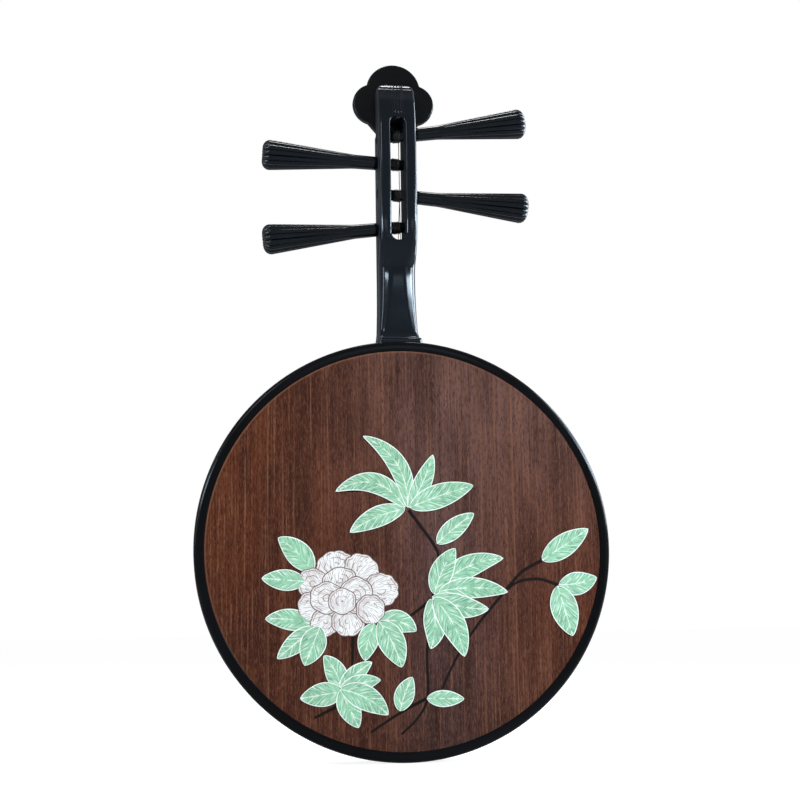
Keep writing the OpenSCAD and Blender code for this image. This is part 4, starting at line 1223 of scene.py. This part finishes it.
@dataclass
class Pegs:
    """The four fluted friction pegs, each on its own tilted axis."""

    nut: float = 446.0
    depth: float = 5.0
    half: float = 17.0
    rise: tuple = (109.02, 82.476, 53.562, 23.226)
    side: tuple = (1, -1, 1, -1)
    tilt: tuple = (8.0, 3.0, -4.5, -6.5)
    shaft: float = 5.5
    shaft_tip: float = 4.5
    gap: float = 0.05
    reach: float = 121.5
    handle: float = 13.6
    root: float = 6.1
    collar: float = 3.0
    ribs: int = 15
    rib_start: float = 34.0
    shoulder_gap: float = 0.3

    def frame(self, i: int) -> Matrix:
        """From a peg's own frame, with x out along the handle, to the instrument's, in metres."""
        turn = Matrix.Rotation(math.radians(0 if self.side[i] > 0 else 180), 4, "Z")
        lean = Matrix.Rotation(math.radians(-self.tilt[i]), 4, "Y")
        return Matrix.Translation((0, self.depth * MM, (self.nut + self.rise[i]) * MM)) @ turn @ lean

    def shaft_radius(self, x: float) -> float:
        """The tapered shaft's radius at a distance from the pegbox's middle."""
        return self.shaft_tip + (self.shaft - self.shaft_tip) * (x + self.half) / (2 * self.half)

    def shoulder(self, i: int) -> float:
        """Where a handle's shoulder stands."""
        a = math.radians(abs(self.tilt[i]))
        return (self.half + self.shoulder_gap + self.root * math.sin(a)) / math.cos(a)

    def hole(self, i: int, material: bpy.types.Material) -> bpy.types.Object:
        """A tapered hole through both cheeks of the pegbox."""
        x0, x1 = -self.half - 8, self.half + 8
        profile = [(x0, 0.0), (x0, self.shaft_radius(x0) + self.gap), (x1, self.shaft_radius(x1) + self.gap), (x1, 0.0)]
        points, faces = lathe(profile, 64, False)
        cutter = welded(solid(f"peg_hole_{i}", points, faces, material))
        cutter.data.transform(self.frame(i))
        return cutter

    def core(self, i: int, material: bpy.types.Material) -> bpy.types.Object:
        """Shaft, collar and the handle's core under the ribs."""
        x0 = self.shoulder(i)
        end = self.reach - 1.2
        tip = -self.half + 0.5
        profile = [(tip, 0.0), (tip, self.shaft_radius(tip) - 0.4), (tip + 0.4, self.shaft_radius(tip)),
                   (x0, self.shaft_radius(x0)), (x0, self.root - 0.4), (x0 + 0.4, self.root), (x0 + self.collar, self.root),
                   (self.rib_start + 4, self.root + 0.25)]
        profile += [(self.rib_start + 4 + (end - 8 - self.rib_start - 4) * t, self.root + 0.25 + (self.handle * 0.84 - self.root - 0.25) * t)
                    for t in (0.25, 0.5, 0.75, 1.0)]
        top = self.handle * 0.84
        profile += [(end - 8 + 8 * math.sin(a), top - 5 + 5 * math.cos(a)) for a in np.radians((30, 50, 70, 90))]
        profile.append((end, 0.0))
        points, faces = lathe(profile, 72, False)
        return shade_and(welded(solid(f"peg_core_{i}", points, faces, material)), 40.0)

    def rib_line(self, i: int) -> bpy.types.Object:
        """The line of one rib, which rises along the handle and rolls over its rounded end."""
        x0, x1 = self.rib_start, self.reach
        start, top = self.root - 1.3, self.handle * 0.8
        path, thick = [], []
        for t in np.linspace(0, 1, 12):
            x = x0 + (x1 - 7.0 - x0) * t
            path.append((x, 0.0, start + (top - start) * t))
            thick.append((1.1 + (self.handle * 0.2 - 1.1) * t) * MM)
        for a in np.radians((18, 36, 54, 72, 86)):
            path.append((x1 - 7.0 + 5.0 * math.sin(a), 0.0, top - 5.4 + 5.4 * math.cos(a)))
            thick.append((self.handle * 0.2 - 0.75 * (1 - math.cos(a))) * MM)
        host = polyline(f"peg_rib_{i}", path)
        host.data.attributes.new("thick", "FLOAT", "POINT").data.foreach_set("value", thick)
        return host

    def build(self, material: bpy.types.Material) -> None:
        """Builds the four pegs on their bodies."""
        tree = rib_tree()
        for i in range(4):
            core = self.core(i, material)
            peg = tree.run(self.rib_line(i), f"fluted_peg_{i + 1}", Count=self.ribs, Sides=14, Core=core, Material=material)
            bpy.data.objects.remove(core)
            shade(peg, 55.0)
            peg.data.transform(self.frame(i))
            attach(peg, f"peg_body_{i + 1}")
            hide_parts(f"peg_{i + 1}")
            LOG.info("peg %d made, %d faces", i + 1, len(peg.data.polygons))


def shade_and(piece: bpy.types.Object, angle: float) -> bpy.types.Object:
    """Shades a piece and hands it on."""
    shade(piece, angle)
    return piece


@dataclass
class Strings:
    """Four strings from the tie bridge over the frets and the nut, and their turns on the pegs."""

    pegs: Pegs
    radius: float = 0.35
    turns: int = 5
    pitch: float = 1.3
    start: float = 3.8
    wind_gap: float = 0.12
    free: float = 3.6
    join: float = 0.1
    nut: float = 446.0
    nut_high: float = 11.0
    nut_thick: float = 6.0
    scale: float = 364.0
    hole_high: float = 9.5
    bridge_high: float = 14.0
    bridge_thick: float = 11.0
    face: float = 22.0

    def at_nut(self, i: int) -> float:
        """Where a string crosses the nut."""
        return self.pegs.side[i] * (6 + (1.4 if i < 2 else -1.4))

    def at_bridge(self, i: int) -> float:
        """Where a string passes the bridge."""
        return self.pegs.side[i] * (11 + (1.8 if i < 2 else -1.8))

    def to_peg(self, i: int, point: Sequence[float]) -> np.ndarray:
        """A point of the instrument in a peg's own frame, in millimetres."""
        return np.array(self.pegs.frame(i).inverted() @ Vector([c * MM for c in point])) / MM

    def from_peg(self, i: int, point: Sequence[float]) -> np.ndarray:
        """A point of a peg's own frame in the instrument's, in millimetres."""
        return np.array(self.pegs.frame(i) @ Vector([float(c) * MM for c in point])) / MM

    def coil(self, i: int, a: float) -> np.ndarray:
        """A point of the winding, a degrees after the string first touches the peg."""
        x = self.start - self.pitch * a / 360
        r = self.pegs.shaft_radius(x) + self.radius + self.wind_gap
        leave = self.to_peg(i, (self.at_nut(i), self.face + self.nut_high + self.radius, self.nut + self.nut_thick))
        s = self.pegs.side[i]
        r0 = self.pegs.shaft_radius(self.start) + self.radius + self.wind_gap
        touch = math.atan2(leave[2], leave[1]) + s * math.acos(r0 / math.hypot(leave[1], leave[2]))
        b = touch + s * math.radians(a)
        return np.array((x, r * math.cos(b), r * math.sin(b)))

    def free_point(self, i: int, d: float) -> np.ndarray:
        """A point on the string's straight run, d before it touches the peg."""
        c = self.coil(i, 0.0)
        leave = self.to_peg(i, (self.at_nut(i), self.face + self.nut_high + self.radius, self.nut + self.nut_thick))
        way = leave - c
        return c + d * way / np.linalg.norm(way)

    def run(self, i: int) -> list:
        """The string's route from its tie to just before its peg."""
        x, r = self.at_bridge(i), self.radius
        low, high = self.face + self.hole_high, self.face + self.bridge_high + r + 0.15
        foot = self.nut - self.scale
        front, rear, bend = foot + r + 0.15, foot - self.bridge_thick - r - 0.15, 0.4
        over = self.face + self.nut_high + r
        return [(x + 1.3, low + 2.2, front), (x + 1.3, high - bend, front), (x + 1.3, high, front - bend),
                (x + 0.43, high, rear + bend), (x + 0.33, high - bend, rear), (x, low + bend, rear),
                (x, low, rear + 2 * bend), (x, low, foot), (self.at_nut(i), over, self.nut + self.nut_thick / 2),
                (self.at_nut(i), over, self.nut + self.nut_thick), tuple(self.from_peg(i, self.free_point(i, self.free + self.join)))]

    def build(self, material: bpy.types.Material) -> None:
        """Builds the strings and the windings as tubes along their routes."""
        tree = tube_tree()
        for i in range(4):
            string = tree.run(polyline(f"line_{i}", self.run(i)), f"lute_string_{i + 1}", Radius=self.radius * MM, Sides=12, Material=material)
            path = [self.free_point(i, self.free), self.free_point(i, self.free / 2)]
            path += [self.coil(i, a) for a in np.arange(0, 360 * self.turns + 1, 9)]
            coil = tree.run(polyline(f"coil_{i}", [self.from_peg(i, p) for p in path]), f"string_turns_{i + 1}",
                            Radius=self.radius * MM, Sides=10, Material=material)
            for piece, body, node in ((string, "root", f"string_{i + 1}"), (coil, f"peg_body_{i + 1}", f"winding_{i + 1}")):
                outward(piece)
                shade(piece, 60.0)
                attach(piece, body)
                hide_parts(node)


@dataclass
class Playing:
    """What the front of the neck and the soundboard carry: frets, nut and bridge."""

    frets: int = 24
    fret_width: float = 32.0
    foot: float = 3.6
    crown: float = 1.8
    high: float = 10.0

    def fret(self, material: bpy.types.Material) -> bpy.types.Object:
        """One fret, 10 mm high, that the tree sizes: a bamboo slip with a rounded crown and sloped ends."""
        f, c, h, w = self.foot / 2, self.crown / 2, self.high, self.fret_width / 2
        half = [(f, 0.0), (f * 0.98, h * 0.3), (f * 0.8, h * 0.62), (c, h - 0.8), (c * 0.8, h - 0.35), (c * 0.4, h - 0.06)]
        section = half + [(-z, y) for z, y in reversed(half)]
        rings = []
        for x, lower in ((-w, 0.9), (-w + 0.4, 0.35), (-w + 1.2, 0.0), (w - 1.2, 0.0), (w - 0.4, 0.35), (w, 0.9)):
            ring = []
            for z, y in section:
                slope = 2.0 * (y / h) ** 1.5 if abs(x) > w - 1.0 else 1.2 * (y / h) ** 1.5
                ring.append((x - math.copysign(slope, x), y - lower * (y / h) ** 2, z))
            rings.append(ring)
        points, faces = loft(rings)
        return solid("fret_slip", points, faces, material, 40.0)

    def build(self, nodes: dict) -> None:
        """Builds the frets as one piece and dresses nut and bridge."""
        bamboo = GrainedWood("bamboo", (0.60, 0.42, 0.18), (0.42, 0.26, 0.09), (0.05, 1, 1), 700.0, 0.36, 0.45).material()
        slip = self.fret(bamboo)
        host = polyline("fret_host", [(0, 0, 0), (0, 0, 1)])
        tall = (11.0 - 0.35 - 1.4) / self.high
        frets = fret_tree().run(host, "bamboo_frets", Count=self.frets, Nut=446.0 * MM, Scale_length=364.0 * MM,
                                Face=22.0 * MM, Nut_height=tall, Fall=1.5 / self.high, Fret=slip, Material=bamboo)
        bpy.data.objects.remove(slip)
        shade(frets, 40.0)
        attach(frets, "root")
        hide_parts(*(f"fret_{n:02d}" for n in range(1, self.frets + 1)))
        bone = GrainedWood("bone", (0.78, 0.72, 0.58), (0.66, 0.57, 0.42), (0.2, 1, 1), 160.0, 0.3, 0.5, 0.00005)
        dress(nodes, ("nut",), bone.material())
        dark = GrainedWood("bridge wood", (0.055, 0.022, 0.013), (0.020, 0.009, 0.006), (0.06, 1, 1), 520.0, 0.32, 0.4)
        dress(nodes, ("bridge",), dark.material())


def dress_inside(nodes: dict) -> None:
    """Gives the blocks, braces, posts and the ringing wire inside the body their finish."""
    wood = GrainedWood("raw softwood", (0.58, 0.38, 0.19), (0.42, 0.24, 0.10), (0.06, 1, 1), 300.0, 0.65, 0.25)
    names = ("neck_block", "end_block", "back_brace_upper", "back_brace_lower", "board_brace_upper",
             "board_brace_lower", "sound_post_left", "sound_post_right")
    dress(nodes, names, wood.material())
    dress(nodes, ("ringing_wire",), DrawnWire("spring wire", (0.45, 0.45, 0.46)).material())


# ---------------------------------------------------------------- floor, light and camera


@dataclass
class Studio:
    """A pale floor, soft lamps and the camera."""

    azimuth: float = -7.965
    elevation: float = -8.904
    roll: float = -0.864
    focal: float = 1444.94
    stand: tuple = (-0.17493, -1.25, 0.1133)
    pixels: float = 800.0

    def build_camera(self) -> None:
        """Places the camera as it stood for the photograph."""
        a, e, r = (math.radians(v) for v in (self.azimuth, self.elevation, self.roll))
        back = Vector((math.sin(a) * math.cos(e), -math.cos(a) * math.cos(e), math.sin(e)))
        right = Vector((math.cos(a), math.sin(a), 0.0))
        up = back.cross(right)
        x = right * math.cos(r) + up * math.sin(r)
        y = up * math.cos(r) - right * math.sin(r)
        place = Vector(self.stand)
        lens = bpy.data.cameras.new("camera")
        lens.sensor_width = 36.0
        lens.lens = self.focal / self.pixels * 36.0
        lens.clip_start = 0.01
        camera = bpy.data.objects.new("camera", lens)
        camera.matrix_world = Matrix((
            (x.x, y.x, back.x, place.x), (x.y, y.y, back.y, place.y), (x.z, y.z, back.z, place.z), (0, 0, 0, 1)))
        bpy.context.scene.collection.objects.link(camera)
        bpy.context.scene.camera = camera

    def lamp(self, name: str, place: Sequence[float], aim: Sequence[float], size: Sequence[float], watts: float,
             tint: Sequence[float] = (1.0, 1.0, 1.0), lights: bool = True) -> None:
        """Adds a rectangular lamp.

        Args:
            name: its name.
            place: where it stands, in metres.
            aim: the point it faces.
            size: its width and height in metres.
            watts: its power.
            tint: its colour.
            lights: whether it lights the surfaces; otherwise it is only seen in their gloss.
        """
        data = bpy.data.lights.new(name, "AREA")
        data.shape = "RECTANGLE"
        data.size, data.size_y = size
        data.energy = watts
        data.color = tint
        lamp = bpy.data.objects.new(name, data)
        lamp.location = place
        lamp.rotation_euler = (Vector(aim) - Vector(place)).to_track_quat("-Z", "Y").to_euler()
        lamp.visible_diffuse = lights
        bpy.context.scene.collection.objects.link(lamp)

    def build_lamps(self) -> None:
        """Soft key from the upper left, fill from the right, and long narrow lamps for the gloss."""
        middle = (0.0, 0.0, 0.3)
        blue = (0.80, 0.91, 1.0)
        self.lamp("key", (-0.7, -1.1, 1.2), middle, (0.4, 0.4), 9.5)
        self.lamp("fill", (1.5, -1.6, 0.6), middle, (0.9, 1.2), 6.0, (0.92, 0.96, 1.0))
        self.lamp("right window", (1.15, -0.05, 0.72), (0.0, 0.0, 0.42), (0.30, 0.8), 30.0, blue)
        self.lamp("right window behind", (1.0, 0.42, 0.72), (0.0, 0.0, 0.42), (0.26, 0.8), 20.0, blue)
        self.lamp("left window", (-1.1, -0.22, 0.62), (0.0, 0.0, 0.45), (0.16, 0.7), 6.0, (0.86, 0.94, 1.0))
        self.lamp("top light", (0.0, 0.25, 1.5), (0.0, 0.0, 0.6), (0.5, 0.2), 11.0, (1.0, 1.0, 1.0), False)
        self.lamp("right reflector", (1.18, -0.55, 0.72), (0.0, 0.0, 0.40), (1.2, 0.17), 56.0, blue, False)
        self.lamp("left reflector", (-0.98, -0.8, 0.60), (0.0, 0.0, 0.38), (0.6, 0.17), 20.0, blue, False)
        self.lamp("low reflector", (0.16, -1.2, 0.59), (0.0, 0.0, 0.37), (0.3, 0.13), 0.42, blue, False)
        self.lamp("front fill", (0.4, 1.8, 1.2), middle, (1.2, 1.2), 12.0)

    def build_world(self) -> None:
        """A white surround for the camera and for reflections, and a weaker one for diffuse light."""
        world = bpy.data.worlds.new("surround")
        bpy.context.scene.world = world
        world.use_nodes = True
        tree = world.node_tree
        tree.nodes.clear()
        out = tree.nodes.new("ShaderNodeOutputWorld")
        bright = tree.nodes.new("ShaderNodeBackground")
        dim = tree.nodes.new("ShaderNodeBackground")
        bright.inputs["Strength"].default_value = 1.0
        dim.inputs["Strength"].default_value = 0.35
        for node in (bright, dim):
            node.inputs["Color"].default_value = (1.0, 1.0, 1.0, 1.0)
        rays = tree.nodes.new("ShaderNodeLightPath")
        seen = tree.nodes.new("ShaderNodeMath")
        seen.operation = "MAXIMUM"
        tree.links.new(rays.outputs["Is Camera Ray"], seen.inputs[0])
        mirrored = tree.nodes.new("ShaderNodeMath")
        mirrored.operation = "MAXIMUM"
        tree.links.new(rays.outputs["Is Glossy Ray"], mirrored.inputs[0])
        tree.links.new(rays.outputs["Is Transmission Ray"], mirrored.inputs[1])
        tree.links.new(mirrored.outputs[0], seen.inputs[1])
        mix = tree.nodes.new("ShaderNodeMixShader")
        tree.links.new(seen.outputs[0], mix.inputs["Fac"])
        tree.links.new(dim.outputs[0], mix.inputs[1])
        tree.links.new(bright.outputs[0], mix.inputs[2])
        tree.links.new(mix.outputs[0], out.inputs["Surface"])

    def build_floor(self) -> None:
        """A wide pale floor under the body, nearly shadowless to the camera."""
        s = Sketch("pale floor")
        grain = s.noise(s.place(), 3.0, 2.0)
        tone = s.mix(grain, (0.86, 0.86, 0.86), (0.90, 0.90, 0.90))
        faint = s.mix(grain, (0.30, 0.30, 0.30), (0.32, 0.32, 0.32))
        matte = s.add("ShaderNodeBsdfDiffuse", {"Color": tone}).outputs[0]
        shadow = s.add("ShaderNodeBsdfDiffuse", {"Color": faint}).outputs[0]
        glow = s.add("ShaderNodeEmission", {"Color": (1, 1, 1, 1), "Strength": 0.88}).outputs[0]
        white = s.add("ShaderNodeAddShader", {0: shadow, 1: glow}).outputs[0]
        rays = s.add("ShaderNodeLightPath")
        mirrored = s.math("MAXIMUM", rays.outputs["Is Glossy Ray"], rays.outputs["Is Transmission Ray"])
        seen = s.math("MAXIMUM", rays.outputs["Is Camera Ray"], mirrored)
        mix = s.add("ShaderNodeMixShader", {0: seen, 1: matte, 2: white})
        s.tree.links.new(mix.outputs[0], s.out.inputs["Surface"])
        size = 20000.0
        corners = [(-size, -size, 0), (size, -size, 0), (size, size, 0), (-size, size, 0)]
        floor = solid("floor", corners, [(0, 1, 2, 3)], s.material)
        floor.data.transform(Matrix.Translation((0, 0, -0.0004)))

    def build(self) -> None:
        """Builds floor, light and camera."""
        self.build_world()
        self.build_floor()
        self.build_lamps()
        self.build_camera()
        view = bpy.context.scene.view_settings
        view.view_transform = "Standard"


def main() -> None:
    """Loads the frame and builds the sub-assemblies in order."""
    logging.basicConfig(level=logging.INFO)
    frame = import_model()
    nodes = frame["nodes"]
    lacquer = BlackLacquer("rim lacquer", gloss=0.12, level=0.05)
    # The neck's black leans blue: partly the lacquer's own blue-black, partly a painted cool reflection of window
    # light.
    black = BlackLacquer("neck lacquer", (0.0014, 0.0026, 0.0050), grooves=True).material()
    body = Body()
    body.build_rim(lacquer)
    body.dress(nodes)
    Inlay().build()
    pegs = Pegs()
    neck = Neck()
    neck.build(pegs, black)
    neck.build_plate(BlackLacquer("plate lacquer", (0.0020, 0.0022, 0.0026), 0.24, 0.06).material())
    pegs.build(BlackLacquer("peg lacquer", (0.0011, 0.0017, 0.0030), 0.13, 0.12).material())
    Strings(pegs).build(DrawnWire("string wire", (0.035, 0.033, 0.031), 0.0, 0.45, 0.25).material())
    Playing().build(nodes)
    dress_inside(nodes)
    Studio().build()
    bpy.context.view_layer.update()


if __name__ == "__main__":
    main()
